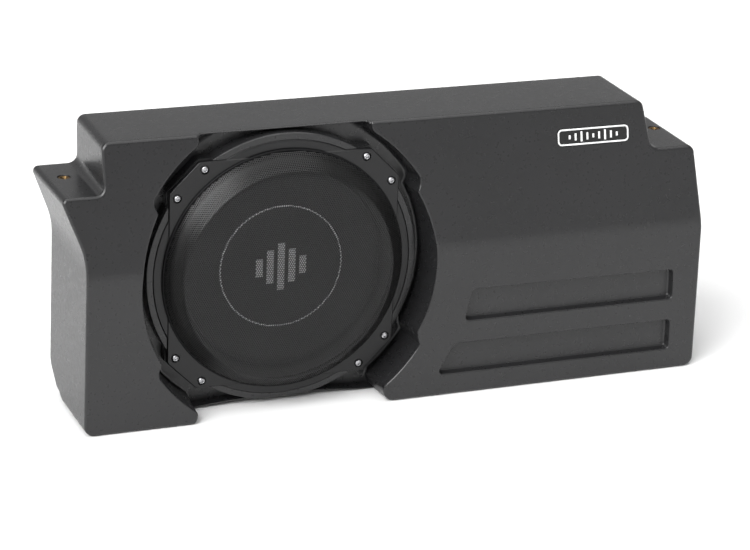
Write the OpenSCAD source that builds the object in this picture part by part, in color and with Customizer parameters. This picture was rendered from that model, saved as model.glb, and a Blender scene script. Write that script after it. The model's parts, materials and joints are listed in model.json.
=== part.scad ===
// Powered car subwoofer: a shallow moulded enclosure with a slim ten inch driver
// behind a domed mesh grille, and an amplifier module set into the back.
// Frame: X to the right seen from the front, Y towards the back, Z up.
// Origin: bottom centre of the whole object. Lengths in millimetres.

/* [Enclosure] */
// Overall width between the ledge tip and the lower right side
body_w = 661; // [661]
// Overall depth
body_d = 120; // [120]
// Overall height
body_h = 280.5; // [280.5]
// Wall thickness of both mouldings
wall = 5; // [4:0.5:6]
// Height at which the front face starts to lean back
bend_z = 157; // [150:1:165]
// How far the top front edge stands behind the lower front face
lean = 29; // [25:1:32]
// Height of the two mounting ledges
ledge_z = 233; // [230:1:236]
// Height of the chamfer along the lower rear edge
chamfer_h = 32; // [26:1:36]
// Run of the chamfer along the lower rear edge
chamfer_run = 40; // [38:1:46]
// Joint plane between the front shell and the rear cover
seam_y = 28; // [28]

/* [Driver] */
// Driver axis, across
driver_x = -108; // [-108]
// Driver axis, height
driver_z = 139.5; // [139.5]
// Mounting plane inside the front recess
baffle_y = -26; // [-26]
// Radius of the hole that the basket drops into
cutout_r = 119; // [118:0.5:120]
// Radius of the circle of driver screws
screw_circle_r = 134; // [134]
// Angle of each driver screw away from its diagonal
screw_split = 8; // [6:1:10]
// Outer radius of the basket's rim
rim_r = 129.5; // [129:0.5:130]
// Half the width across the flats of the basket's corners
ear_half = 115; // [114:0.5:116]
// Distance from the axis to a corner's diagonal flat
ear_reach = 141.8; // [141:0.2:142.6]
// Travel of the cone each way
cone_travel = 10; // [6:1:10]

/* [Grille] */
// Radius where the mesh leaves its ring
mesh_base_r = 120.4; // [120.2:0.2:120.6]
// Radius of the flat front of the mesh
mesh_flat_r = 105.5; // [104:0.5:107]
// Front plane of the mesh
mesh_front_y = -54; // [-55:0.5:-53]
// Thickness of the mesh sheet
mesh_t = 1; // [0.8:0.1:1.2]

/* [Mounting] */
// Radius of the tapped bore in each ledge insert
insert_bore_r = 3.4; // [3.4]
// Outer radius of each ledge insert
insert_r = 6; // [5.5:0.5:6.5]
// Length of each ledge insert
insert_len = 18; // [14:1:20]

/* [Amplifier] */
// Width of the amplifier's back plate
amp_w = 230; // [230]
// Height of the amplifier's back plate
amp_h = 166; // [166]
// Centre of the amplifier, across
amp_x = 165; // [165]
// Centre of the amplifier, height
amp_z = 152; // [152]
// Depth of the pocket that the back plate sits in
pocket_d = 10; // [10]

/* [Hidden] */
half_w = body_w / 2;
front_y = -body_d / 2;
back_y = body_d / 2;
big = 400;                       // longer than anything it cuts
arc_steps = 6;                   // straight pieces in each rounded corner
top_front_y = front_y + lean;
lip_h = 4;                       // lip around the driver's flange
lip_w = 7;
lip_gap = 0.3;
moat_y = baffle_y + 12;          // floor of the groove around the lip
moat_r = 152;                    // reach of the groove
screw_hole_r = 2.2;              // clearance hole of a driver screw
insert_at = [[-310, 19], [305.5, 19]];
badge_at = [208.3, 250.8];       // centre of the badge in front view
badge_size = [78, 17.5];
lean_angle = atan(lean / (body_h - bend_z));

// Enclosure outline in front view: across, up, corner radius
outline = [
    [-314, 0, 10], [half_w, 0, 10], [327.5, 150, 60], [319.5, ledge_z, 8], [272.3, ledge_z, 9],
    [263.5, body_h, 8], [-287.5, body_h, 8], [-287.5, ledge_z, 9], [-half_w - 2.2, ledge_z, 5],
    [-311, 178, 60]
];
// Enclosure profile in side view: back, up, corner radius
profile = [
    [front_y, 0, 5], [back_y - chamfer_run, 0, 8], [back_y, chamfer_h, 14], [back_y, body_h, 6],
    [top_front_y, body_h, 5], [front_y, bend_z, 60]
];
// Moulded panels low on the right of the front face
panels = [
    [[72.5, 77.3, 4], [300, 77, 4], [298.5, 108.5, 4], [78.5, 110, 6]],
    [[45.5, 22.5, 4], [300.5, 22, 4], [299.5, 54, 4], [62.5, 54, 8]]
];
panel_d = 8;
// Screws that hold the rear cover on: across, up
cover_screw_at = [
    [-262, 271], [-170, 271], [0, 271], [100, 271], [240, 271],
    [-306, 190], [-303, 115], [-304.5, 40], [314.5, 190], [318.5, 115], [320.5, 40],
    [-215, 24], [-15, 24], [120, 24], [230, 24]
];
amp_screw_at = [
    for (sx = [-1, -0.34, 0.34, 1]) for (sz = [-1, 1])
        [amp_x + sx * (amp_w / 2 - 7), amp_z + sz * (amp_h / 2 - 7)],
    for (sx = [-1, 1]) [amp_x + sx * (amp_w / 2 - 7), amp_z]
];
driver_screw_angles = [for (q = [45:90:315]) for (s = [-1, 1]) q + s * screw_split];

// Planes of the driver and motor along Y
ear_front_y = baffle_y - 6;
rim_front_y = baffle_y - 5;
flange_back_y = baffle_y - 1.5;
flange_r = cutout_r - 3.5;       // opening of the flange
surround_seat_y = rim_front_y + 3;
grille_seat_y = ear_front_y - 3;
baffle_back_y = moat_y + wall;   // inner face of the moulded baffle
cap_front_y = -24;
plate_y = 15;        // front of the motor's top plate
plate_t = 7;
magnet_t = 20;
yoke_t = 7;
magnet_y = plate_y + plate_t;
yoke_y = magnet_y + magnet_t;
pole_r = 36.5;
vent_r = 14;
motor_r = 61;
former_r = 38;
coil_r = 39.8;
gap_r = 42;
terminal_block_at = [driver_x + 65, driver_z - 47];
wire_start_y = plate_y + 6;

// Planes of the amplifier along Y
pocket_y = back_y - pocket_d;
plate_back_y = pocket_y + 4.5;   // outer face of the amplifier's plate
plate_inner_y = pocket_y + 1;
board_y = 34;
board_t = 1.6;
knob_at = [[212, 196], [234, 196], [256, 196]];
switch_at = [213, 166];
fuse_at = [[232, 130], [254, 130]];
terminal_at = [238, 106];
jack_at = [[235, 166], [256, 166]];
remote_at = [208, 130];
led_at = [205, 214];

// ---- outlines ----
function unit(v) = v / norm(v);
function turn(u, v) = u[0] * v[1] - u[1] * v[0];
function at2(p) = [p[0], p[1]];
// Moves every side of a closed counter-clockwise path inwards by d
function inset(path, d) = let (n = len(path)) [
    for (i = [0:n - 1]) let (
        a = at2(path[(i + n - 1) % n]), p = at2(path[i]), b = at2(path[(i + 1) % n]),
        u = unit(p - a), v = unit(b - p), nu = [-u[1], u[0]], nv = [-v[1], v[0]],
        q = p + d * (nu + nv) / (1 + nu * nv),
        r = turn(u, v) > 0 ? path[i][2] - d : path[i][2] + d
    ) [q[0], q[1], max(r, 0.6)]
];
// Replaces every corner of a closed path by an arc of its own radius
function rounded(path) = let (n = len(path)) [
    for (i = [0:n - 1]) let (
        a = at2(path[(i + n - 1) % n]), p = at2(path[i]), b = at2(path[(i + 1) % n]),
        r = path[i][2], u = unit(p - a), v = unit(b - p), s = sign(turn(u, v)),
        bend = acos(min(1, max(-1, u * v))),
        start = p - u * r * tan(bend / 2),
        c = start + s * r * [-u[1], u[0]],
        a0 = atan2(start[1] - c[1], start[0] - c[0])
    )
    for (k = [0:arc_steps])
        c + r * [cos(a0 + s * bend * k / arc_steps), sin(a0 + s * bend * k / arc_steps)]
];
function ring_point(r, a) = [driver_x + r * cos(a), driver_z + r * sin(a)];

// ---- placing ----
module along_y(y0, y1) {
    translate([0, y1, 0]) rotate([90, 0, 0]) linear_extrude(y1 - y0) children();
}
module along_x(x0, x1) {
    translate([x0, 0, 0]) rotate([90, 0, 90]) linear_extrude(x1 - x0) children();
}
// A rod along Y, centred on p in front view
module rod(p, r, y0, y1, fn = 32) {
    translate([p[0], y0, p[1]]) rotate([-90, 0, 0]) cylinder(h = y1 - y0, r = r, $fn = fn);
}
module block(x0, x1, y0, y1, z0, z1) {
    translate([x0, y0, z0]) cube([x1 - x0, y1 - y0, z1 - z0]);
}
// Turned shape about the driver's axis: its outline is given as radius, Y
module turned(points, fn = 96) {
    translate([driver_x, 0, driver_z]) rotate([-90, 0, 0]) rotate_extrude($fn = fn) polygon(points);
}
module ring(r0, r1, y0, y1) {
    turned([[r0, y0], [r1, y0], [r1, y1], [r0, y1]]);
}

// ---- enclosure ----
module envelope(d) {
    intersection() {
        along_y(-big, big) polygon(rounded(inset(outline, d)));
        along_x(-big, big) polygon(rounded(inset(profile, d)));
    }
}
module cavity() {
    intersection() {
        along_y(-big, back_y - wall) polygon(rounded(inset(outline, wall)));
        along_x(-big, big) polygon(rounded(inset(profile, wall)));
    }
}
// Front recess: a disc, four lobes over the driver's corners, open above and below
function lobe(r, a0, a1) = concat(
    [ring_point(0, 0)], [for (k = [0:6]) ring_point(r, a0 + (a1 - a0) * k / 6)]
);
module recess_outline(grow) {
    translate([driver_x, driver_z]) circle(r = 147.5 + grow, $fn = 96);
    widen = atan(grow / 150);      // keeps the wall's thickness beside each lobe
    for (span = [[31, 57], [123, 148], [213, 235], [307, 328]])
        polygon(lobe(157 + grow, span[0] - widen, span[1] + widen));
    polygon([
        ring_point(157 + grow, 124), ring_point(0, 0), ring_point(157 + grow, 56),
        [-24.5 + grow, body_h + 9], [-196.5 - grow, body_h + 9]
    ]);
    polygon([
        ring_point(0, 0), ring_point(157 + grow, 234), [-198.5 - grow, 9], [-205 - grow, 2],
        [-209 - grow, -9], [-1 + grow, -9], [-9 + grow, 3], ring_point(157 + grow, 308)
    ]);
}
module insert_boss(p) {
    translate([p[0], p[1], ledge_z - insert_len - 4]) cylinder(h = insert_len + 2, r = 8.5, $fn = 32);
}
module insert_pocket(p) {
    translate([p[0], p[1], ledge_z - insert_len]) cylinder(h = insert_len + 1, r = insert_r, $fn = 32);
}
module cover_boss(p) {
    rod(p, 5.5, seam_y - 22, seam_y);
    if (p[1] < 30) block(p[0] - 2.5, p[0] + 2.5, seam_y - 22, seam_y, 2, p[1]);
}
module front_half() { block(-big, big, -big, seam_y, -1, big); }
// Shallow arch under the driver
module foot_arch() {
    along_y(-big, big) polygon([
        [-208, -1], [-18, -1], [-22, 0], [-60, 3.5], [-110, 4.5], [-160, 3.5], [-204, 0]
    ]);
}
// Closes the floor under the recess, where the cavity would leave it thin
module recess_sill() { block(-205, -12, baffle_y - 6, seam_y, 1, 9); }
// Groove around the lip, clear of the edges above and below
module moat_outline() {
    difference() {
        intersection() {
            recess_outline(0);
            translate([driver_x, driver_z]) circle(r = moat_r, $fn = 96);
            translate([-big, 12]) square([2 * big, body_h - 19]);
        }
        pedestal_outline();
    }
}
// What the driver sits on: the circle of the lip, and the four corners just past the flange's
module pedestal_outline() {
    lip_outline();
    flange_outline(1);
}
module lip_outline() { translate([driver_x, driver_z]) circle(r = rim_r + lip_w, $fn = 96); }
module moulded_front() {
    difference() {
        intersection() {
            union() {
                difference() {
                    envelope(0);
                    cavity();
                }
                along_y(front_y - 1, baffle_back_y) recess_outline(wall);
                for (p = panels)
                    along_y(front_y, front_y + panel_d + wall) polygon(rounded(inset(p, -wall)));
                for (p = insert_at) insert_boss(p);
                for (p = cover_screw_at) cover_boss(p);
                recess_sill();
            }
            envelope(0);
            front_half();
        }
        along_y(-big, baffle_y) recess_outline(0);
        along_y(-big, moat_y) moat_outline();
        for (p = panels) along_y(-big, front_y + panel_d) polygon(rounded(p));
    }
}
// Low lip that stands round the driver's flange
module recess_lip() {
    intersection() {
        difference() {
            along_y(baffle_y - lip_h, baffle_y + 1) lip_outline();
            along_y(-big, big) flange_outline(lip_gap);
        }
        envelope(0);
    }
}
module front_shell() {
    color([0.13, 0.13, 0.14]) difference() {
        union() {
            moulded_front();
            recess_lip();
        }
        rod([driver_x, driver_z], cutout_r, baffle_y - 1, baffle_back_y + 1, 96);
        for (a = driver_screw_angles)
            rod(ring_point(screw_circle_r, a), screw_hole_r, baffle_y - 1, baffle_back_y + 1);
        for (p = insert_at) insert_pocket(p);
        for (p = cover_screw_at) rod(p, 1.7, seam_y - 18, seam_y + 1);
        seam_groove(seam_y - 1, seam_y + 1);
        foot_arch();
        badge_pocket();
    }
}
module rear_half() { block(-big, big, seam_y, big, -1, big); }
module rear_cover() {
    color([0.12, 0.12, 0.13]) difference() {
        intersection() {
            union() {
                difference() {
                    envelope(0);
                    cavity();
                }
                for (p = cover_screw_at) rod(p, 7, seam_y, back_y);
                block(amp_x - amp_w / 2 - 6, amp_x + amp_w / 2 + 6, pocket_y - wall, back_y,
                    amp_z - amp_h / 2 - 6, amp_z + amp_h / 2 + 6);
            }
            envelope(0);
            rear_half();
        }
        block(amp_x - amp_w / 2 - 1, amp_x + amp_w / 2 + 1, pocket_y, big,
            amp_z - amp_h / 2 - 1, amp_z + amp_h / 2 + 1);
        block(amp_x - 103, amp_x + 103, 0, big, amp_z - 70, amp_z + 70);
        for (p = cover_screw_at) {
            rod(p, 2.3, seam_y - 1, back_y + 1);
            rod(p, 4.6, seam_y + 8, back_y + 1);
        }
        for (p = amp_screw_at) rod(p, 1.5, pocket_y - wall - 1, pocket_y + 1, 24);
        seam_groove(seam_y - 1, seam_y + 1);
        foot_arch();
    }
}
module seam_groove(y0, y1) {
    difference() {
        along_y(y0, y1) polygon(rounded(inset(outline, 1.6)));
        along_y(y0 - 1, y1 + 1) polygon(rounded(inset(outline, 3.4)));
        block(-big, big, -big, big, -1, 14);
    }
}
module seam_gasket() {
    color([0.05, 0.05, 0.05]) difference() {
        seam_groove(seam_y - 1, seam_y + 1);
        along_y(-big, big) difference() {
            square(3 * big, center = true);
            polygon(rounded(inset(outline, 1)));
        }
    }
}
// Pan head screw pushed in along -Y, head towards the back
module back_screw(p, shank_r, len, head_r, head_h, seat_y) {
    difference() {
        union() {
            rod(p, shank_r, seat_y - len, seat_y, 24);
            rod(p, head_r, seat_y, seat_y + head_h, 32);
        }
        for (a = [0, 90]) translate([p[0], seat_y + head_h, p[1]]) rotate([0, a, 0])
            cube([head_r * 1.1, 2.4, 0.9], center = true);
    }
}
module cover_screws() {
    color([0.2, 0.2, 0.22]) for (p = cover_screw_at) back_screw(p, 1.6, 20, 4, 2.6, seam_y + 8);
}
module ledge_inserts() {
    fit = 0.05;      // running clearance in the moulded pocket
    color([0.75, 0.58, 0.25]) for (p = insert_at) translate([p[0], p[1], ledge_z - insert_len]) difference() {
        cylinder(h = insert_len, r = insert_r - fit, $fn = 32);
        translate([0, 0, 2]) cylinder(h = insert_len, r = insert_bore_r, $fn = 48);
    }
}
module badge_frame(d, y0, y1) {
    translate([0, top_front_y, body_h]) rotate([-lean_angle, 0, 0]) {
        drop = (body_h - badge_at[1]) / cos(lean_angle);
        along_y(y0, y1) polygon(rounded(inset([
            [badge_at[0] - badge_size[0] / 2, -drop - badge_size[1] / 2, 5],
            [badge_at[0] + badge_size[0] / 2, -drop - badge_size[1] / 2, 5],
            [badge_at[0] + badge_size[0] / 2, -drop + badge_size[1] / 2, 5],
            [badge_at[0] - badge_size[0] / 2, -drop + badge_size[1] / 2, 5]
        ], d)));
    }
}
module badge_pocket() { badge_frame(0, -4, 1); }
module badge_plate() {
    color([0.03, 0.03, 0.03]) difference() {
        badge_frame(0.1, -0.3, 1);
        badge_marks(1);
    }
}
module badge_bar(i, y0, y1) {
    bar_h = [4, 7, 10, 7, 4, 7, 10, 7, 4];
    translate([0, top_front_y, body_h]) rotate([-lean_angle, 0, 0]) {
        drop = (body_h - badge_at[1]) / cos(lean_angle);
        translate([badge_at[0] + (i - 4) * 6.4 - 1, y0, -drop - bar_h[i] / 2]) cube([2, y1 - y0, bar_h[i]]);
    }
}
module badge_marks(grow) {
    difference() {
        badge_frame(0.6, -0.3 - grow, 0.2);
        badge_frame(2.2, -2 - grow, 1);
    }
    for (i = [0:8]) badge_bar(i, -0.3 - grow, 0.2);
}
module badge_print() { color([0.85, 0.85, 0.85]) badge_marks(0); }

// ---- driver ----
module baffle_ring() {
    color([0.55, 0.42, 0.28]) difference() {
        ring(cutout_r + 1, 148, baffle_back_y, baffle_back_y + 12);
        for (a = driver_screw_angles) {
            rod(ring_point(screw_circle_r, a), screw_hole_r, baffle_back_y - 1, 10);
            rod(ring_point(screw_circle_r, a), 3.4, baffle_back_y + 4, 10);
        }
        block(-big, big, -big, big, -big, 9);
        block(-big, big, -big, big, body_h - 7.5, big);
    }
}
module driver_nuts() {
    color([0.6, 0.6, 0.62]) for (a = driver_screw_angles) difference() {
        union() {
            rod(ring_point(screw_circle_r, a), 3.3, baffle_back_y + 4, baffle_back_y + 12);
            rod(ring_point(screw_circle_r, a), 7, baffle_back_y + 12, baffle_back_y + 13.2);
        }
        rod(ring_point(screw_circle_r, a), 2.05, baffle_y, 10);
    }
}
module flange_outline(grow) {
    translate([driver_x, driver_z]) {
        circle(r = rim_r + grow, $fn = 96);
        intersection() {
            square(2 * (ear_half + grow), center = true);
            rotate(45) square(2 * (ear_reach + grow), center = true);
        }
    }
}
module driver_gasket() {
    color([0.04, 0.04, 0.04]) difference() {
        along_y(flange_back_y, baffle_y) flange_outline(0);
        rod([driver_x, driver_z], cutout_r, -big, big, 96);
        for (a = driver_screw_angles) rod(ring_point(screw_circle_r, a), screw_hole_r, -big, big);
    }
}
// Flat front of the basket: a round rim, and a raised square plate whose corners stand past it
module driver_flange() {
    color([0.06, 0.06, 0.065]) difference() {
        union() {
            along_y(rim_front_y, flange_back_y) flange_outline(0);
            along_y(ear_front_y, rim_front_y + 1) intersection() {
                flange_outline(0);
                translate([driver_x, driver_z]) square(2 * ear_half, center = true);
            }
        }
        rod([driver_x, driver_z], flange_r, -big, big, 96);
        for (a = driver_screw_angles) {
            rod(ring_point(screw_circle_r, a), screw_hole_r, -big, big);
            rod(ring_point(screw_circle_r, a), 4.3, -big, ear_front_y + 2);
        }
    }
}
// Cast frame behind the flange: the surround's seat, eight windows and the motor's ring
module driver_basket() {
    color([0.06, 0.06, 0.065]) difference() {
        turned([
            [flange_r - 0.1, surround_seat_y + surround_t], [flange_r - 0.1, flange_back_y],
            [cutout_r - 1, flange_back_y], [cutout_r - 1, -20], [84, 10], [82, plate_y],
            [gap_r + 2, plate_y], [gap_r + 2, plate_y - 3], [75, plate_y - 3], [79.5, 7.5],
            [79.5, 5], [112, -21], [112, surround_seat_y + surround_t]
        ]);
        for (a = [22.5:45:359]) translate([driver_x, 0, driver_z]) rotate([0, -a, 0])
            block(88, 108, -19, 11, -25, 25);
    }
}
module driver_screws() {
    color([0.8, 0.8, 0.82]) for (a = driver_screw_angles) difference() {
        union() {
            rod(ring_point(screw_circle_r, a), 2, ear_front_y + 2, baffle_back_y + 15, 24);
            rod(ring_point(screw_circle_r, a), 3.5, ear_front_y - 1.2, ear_front_y + 2);
        }
        rod(ring_point(screw_circle_r, a), 1.6, ear_front_y - 2, ear_front_y + 0.6, 6);
    }
}
module grille_ring() {
    back_y = surround_seat_y - 0.1;
    color([0.05, 0.05, 0.05]) turned([
        [flange_r - 1.7, back_y], [flange_r - 1.7, ear_front_y - 1], [cutout_r - 1, grille_seat_y],
        [cutout_r + 1.8, grille_seat_y], [cutout_r + 2.4, grille_seat_y + 0.8], [cutout_r + 2.4, ear_front_y],
        [flange_r - 0.1, ear_front_y], [flange_r - 0.1, back_y]
    ]);
}
module grille_mesh() {
    color([0.16, 0.16, 0.16]) turned([
        [0, mesh_front_y], [mesh_flat_r - 4, mesh_front_y], [mesh_flat_r, mesh_front_y + 1.4],
        [mesh_flat_r + 2, mesh_front_y + 4],
        [mesh_base_r, grille_seat_y], [mesh_base_r - mesh_t * 1.2, grille_seat_y],
        [mesh_flat_r + 0.8, mesh_front_y + 4.6], [mesh_flat_r - 1, mesh_front_y + 2.3],
        [mesh_flat_r - 4.4, mesh_front_y + mesh_t], [0, mesh_front_y + mesh_t]
    ]);
}
surround_mid = 106.5;
surround_r = 7;
surround_t = 1.2;
module surround() {
    seat_y = surround_seat_y;
    inner_r = surround_r - surround_t;
    color([0.07, 0.07, 0.07]) turned(concat(
        [[115.2, seat_y], [surround_mid + surround_r, seat_y]],
        [for (k = [0:12]) [surround_mid + surround_r * cos(15 * k), seat_y - surround_r * sin(15 * k)]],
        [[98, seat_y], [98, seat_y + surround_t], [surround_mid - inner_r, seat_y + surround_t]],
        [for (k = [12:-1:0]) [surround_mid + inner_r * cos(15 * k), seat_y + 0.4 - inner_r * sin(15 * k)]],
        [[surround_mid + inner_r, seat_y + surround_t], [115.2, seat_y + surround_t]]
    ));
}
module cone() {
    color([0.08, 0.08, 0.08]) turned([
        [100, rim_front_y + 4.3], [100, rim_front_y + 5.8], [63, -20.6], [40, -6.5], [former_r + 0.5, -5],
        [former_r + 0.5, -7.4], [61.5, cap_front_y + 1.8], [64, cap_front_y + 1.2], [98, rim_front_y + 4.3]
    ]);
}
module dust_cap() {
    color([0.09, 0.09, 0.09]) turned([
        [0, cap_front_y], [62, cap_front_y], [63, cap_front_y + 0.5],
        [63, cap_front_y + 1.2], [0, cap_front_y + 1.2]
    ]);
}
module cap_print() {
    color([0.55, 0.55, 0.55]) {
        ring(60.6, 61.9, cap_front_y - 0.25, cap_front_y);
        for (i = [-2:2]) let (h = [18, 34, 48, 34, 18][i + 2])
            block(driver_x + i * 11 - 3.5, driver_x + i * 11 + 3.5, cap_front_y - 0.25, cap_front_y,
                driver_z - h / 2, driver_z + h / 2);
    }
}
module coil_former() { color([0.75, 0.7, 0.6]) ring(former_r, former_r + 0.5, -8, 29); }
module voice_coil() { color([0.72, 0.4, 0.2]) ring(former_r + 0.5, coil_r, 8.5, 28.5); }
module spider() {
    waves = [for (k = [0:60]) [former_r + 0.7 + k * 0.62, 2.5 + 1.5 * sin(k * 45)]];
    color([0.8, 0.72, 0.45]) turned(concat(
        [for (p = waves) [p[0], p[1]]], [[78.5, 4.1], [78.5, 4.9], [75.9, 4.9]],
        [for (k = [60:-1:0]) [waves[k][0], waves[k][1] + 0.8]]
    ));
}
module top_plate() { color([0.5, 0.5, 0.52]) ring(gap_r, motor_r, plate_y, magnet_y); }
module magnet() { color([0.12, 0.12, 0.13]) ring(46, motor_r - 1.5, magnet_y, yoke_y); }
module yoke() {
    color([0.5, 0.5, 0.52]) difference() {
        turned([
            [0, plate_y - 2], [pole_r, plate_y - 2], [pole_r, yoke_y], [motor_r, yoke_y],
            [motor_r, yoke_y + yoke_t - 2], [motor_r - 2, yoke_y + yoke_t], [0, yoke_y + yoke_t]
        ]);
        rod([driver_x, driver_z], vent_r, -big, big, 48);
    }
}
module driver_terminals() {
    p = terminal_block_at;
    color([0.1, 0.1, 0.1]) difference() {
        block(p[0] - 9, p[0] + 9, plate_y, wire_start_y, p[1] - 12, p[1] + 12);
        for (dz = [-6, 6]) rod([p[0], p[1] + dz], 2, plate_y + 2, big, 24);
    }
}
// Two short braided leads, each sagging from the basket to the neck of the cone
module tinsel_leads() {
    color([0.75, 0.6, 0.35]) for (dz = [-6, 6])
        swept([for (t = [0:1 / 12:1.001])
            [driver_x + 84 - 41 * t, -0.5 - 6 * t - 4 * sin(180 * t), driver_z + dz]], 0.9);
}

// ---- inside the enclosure ----
// A tube swept along a list of points
function path_dir(pts, i) = unit(pts[min(i + 1, len(pts) - 1)] - pts[max(i - 1, 0)]);
module swept(pts, r, sides = 8) {
    n = len(pts);
    rings = [for (i = [0:n - 1]) let (
        d = path_dir(pts, i),
        side = unit(cross(d, abs(d[2]) > 0.9 ? [1, 0, 0] : [0, 0, 1])),
        up = cross(side, d)
    ) for (k = [0:sides - 1]) pts[i] + r * (cos(360 * k / sides) * side + sin(360 * k / sides) * up)];
    polyhedron(rings, concat(
        [[for (k = [0:sides - 1]) k]],
        [for (i = [0:n - 2]) for (k = [0:sides - 1]) let (a = i * sides + k, b = i * sides + (k + 1) % sides)
            [a, a + sides, b + sides, b]],
        [[for (k = [sides - 1:-1:0]) (n - 1) * sides + k]]
    ));
}
module speaker_wires() {
    p = terminal_block_at;
    color([0.6, 0.1, 0.1]) for (dz = [-6, 6])
        swept([for (t = [0:1 / 24:1.001]) [
            p[0] + t * (amp_x - 102.5 - p[0]),
            wire_start_y + 0.1 + 9 * sin(180 * min(1, t * 2.5)) + 4 * t,
            p[1] + dz - 16 * sin(180 * t)
        ]], 1.2);
}
// Posts that stop the two large faces from flexing towards each other
brace_at = [[31, 245], [42, 51]];
brace_r = 8;
module brace_posts() {
    color([0.6, 0.5, 0.35]) for (p = brace_at) {
        rise = max(0, p[1] + brace_r - bend_z);
        rod(p, brace_r, front_y + wall + rise * lean / (body_h - bend_z) + 0.3, back_y - wall);
    }
}
module damping_pad() {
    color([0.35, 0.35, 0.34]) block(58, 292, -50.8, -44, 122, 154);
}

// ---- amplifier ----
module amp_holes() {
    for (p = knob_at) rod(p, 4.2, 0, big, 32);
    block(switch_at[0] - 4, switch_at[0] + 4, 0, big, switch_at[1] - 7, switch_at[1] + 7);
    for (p = fuse_at) block(p[0] - 5, p[0] + 5, 0, big, p[1] - 12, p[1] + 12);
    block(terminal_at[0] - 25, terminal_at[0] + 25, 0, big, terminal_at[1] - 9, terminal_at[1] + 9);
    for (p = jack_at) rod(p, 5.2, 0, big, 32);
    block(remote_at[0] - 7, remote_at[0] + 7, 0, big, remote_at[1] - 6, remote_at[1] + 6);
    rod(led_at, 1.6, 0, big, 24);
}
fin_at = [for (i = [0:11]) amp_x - amp_w / 2 + 18 + i * 10.5];
module amp_plate() {
    color([0.1, 0.1, 0.105]) difference() {
        union() {
            block(amp_x - amp_w / 2, amp_x + amp_w / 2, plate_inner_y, plate_back_y,
                amp_z - amp_h / 2, amp_z + amp_h / 2);
            for (x = fin_at) block(x - 1.2, x + 1.2, plate_back_y, back_y - 0.5,
                amp_z - amp_h / 2 + 14, amp_z + amp_h / 2 - 14);
        }
        amp_holes();
        for (p = amp_screw_at) rod(p, 1.9, 0, big, 24);
    }
}
module amp_gasket() {
    color([0.05, 0.05, 0.05]) difference() {
        block(amp_x - amp_w / 2, amp_x + amp_w / 2, pocket_y, plate_inner_y,
            amp_z - amp_h / 2, amp_z + amp_h / 2);
        block(amp_x - 103, amp_x + 103, 0, big, amp_z - 70, amp_z + 70);
        for (p = amp_screw_at) rod(p, 1.9, 0, big, 24);
    }
}
module amp_screws() {
    color([0.25, 0.25, 0.27]) for (p = amp_screw_at) back_screw(p, 1.45, 12, 3.2, 2.2, plate_back_y);
}
module amp_housing() {
    w = 102;
    h = 69;
    t = 1.5;
    front = 8;
    color([0.3, 0.3, 0.32]) difference() {
        block(amp_x - w, amp_x + w, front, plate_inner_y, amp_z - h, amp_z + h);
        block(amp_x - w + t, amp_x + w - t, front + t, big, amp_z - h + t, amp_z + h - t);
        for (dz = [-6, 6]) translate([amp_x - w - 1, wire_start_y + 4.1, terminal_block_at[1] + dz])
            rotate([0, 90, 0]) cylinder(h = 4, r = 1.6, $fn = 24);
    }
}
standoff_at = [for (sx = [-1, 1]) for (sz = [-1, 1]) [amp_x + sx * 92, amp_z + sz * 59]];
module circuit_board() {
    color([0.05, 0.25, 0.12]) difference() {
        block(amp_x - 98, amp_x + 98, board_y, board_y + board_t, amp_z - 65, amp_z + 65);
        for (p = standoff_at) rod(p, 1.7, 0, big, 24);
    }
}
module board_standoffs() {
    color([0.7, 0.6, 0.3]) for (p = standoff_at) {
        rod(p, 3, board_y + board_t, plate_inner_y, 24);
        rod(p, 1.6, board_y - 3, board_y + board_t, 24);
    }
}
cap_at = [
    for (i = [0:3]) [amp_x - 70 + i * 23, amp_z - 44],
    for (i = [0:1]) [amp_x - 70 + i * 23, amp_z + 44]
];
module capacitors() {
    color([0.12, 0.14, 0.3]) for (p = cap_at) rod(p, 9, 11, board_y, 32);
}
choke_at = [amp_x + 58, amp_z + 34];
module choke_core() {
    color([0.3, 0.35, 0.2]) difference() {
        rod(choke_at, 17.8, 16, 30, 48);
        rod(choke_at, 9.2, 0, big, 48);
    }
}
module choke_winding() {
    color([0.72, 0.4, 0.2]) for (a = [20:20:340]) translate([choke_at[0], 0, choke_at[1]]) rotate([0, a, 0])
        difference() {
            block(7.2, 20, 14.2, 31.8, -1.2, 1.2);
            block(9.05, 17.95, 15.95, 30.05, -2, 2);
        }
}
transistor_at = [for (i = [0:5]) [amp_x - 80 + i * 22, amp_z + 4]];
module power_transistors() {
    color([0.06, 0.06, 0.06]) for (p = transistor_at) {
        block(p[0] - 5, p[0] + 5, plate_inner_y - 4.6, plate_inner_y, p[1] - 8, p[1] + 7);
        for (dx = [-2.5, 0, 2.5])
            block(p[0] + dx - 0.4, p[0] + dx + 0.4, board_y + board_t, plate_inner_y - 2,
                p[1] - 8.8, p[1] - 8);
    }
}
module clamp_bar() {
    color([0.6, 0.6, 0.62])
        block(amp_x - 90, amp_x + 40, plate_inner_y - 7.6, plate_inner_y - 4.6, amp_z - 2, amp_z + 10);
}
module control_pots() {
    color([0.2, 0.3, 0.45]) for (p = knob_at) {
        block(p[0] - 5, p[0] + 5, board_y + board_t, board_y + 9, p[1] - 5, p[1] + 5);
        rod(p, 1.5, board_y + 9, back_y - 5, 24);
    }
}
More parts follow.
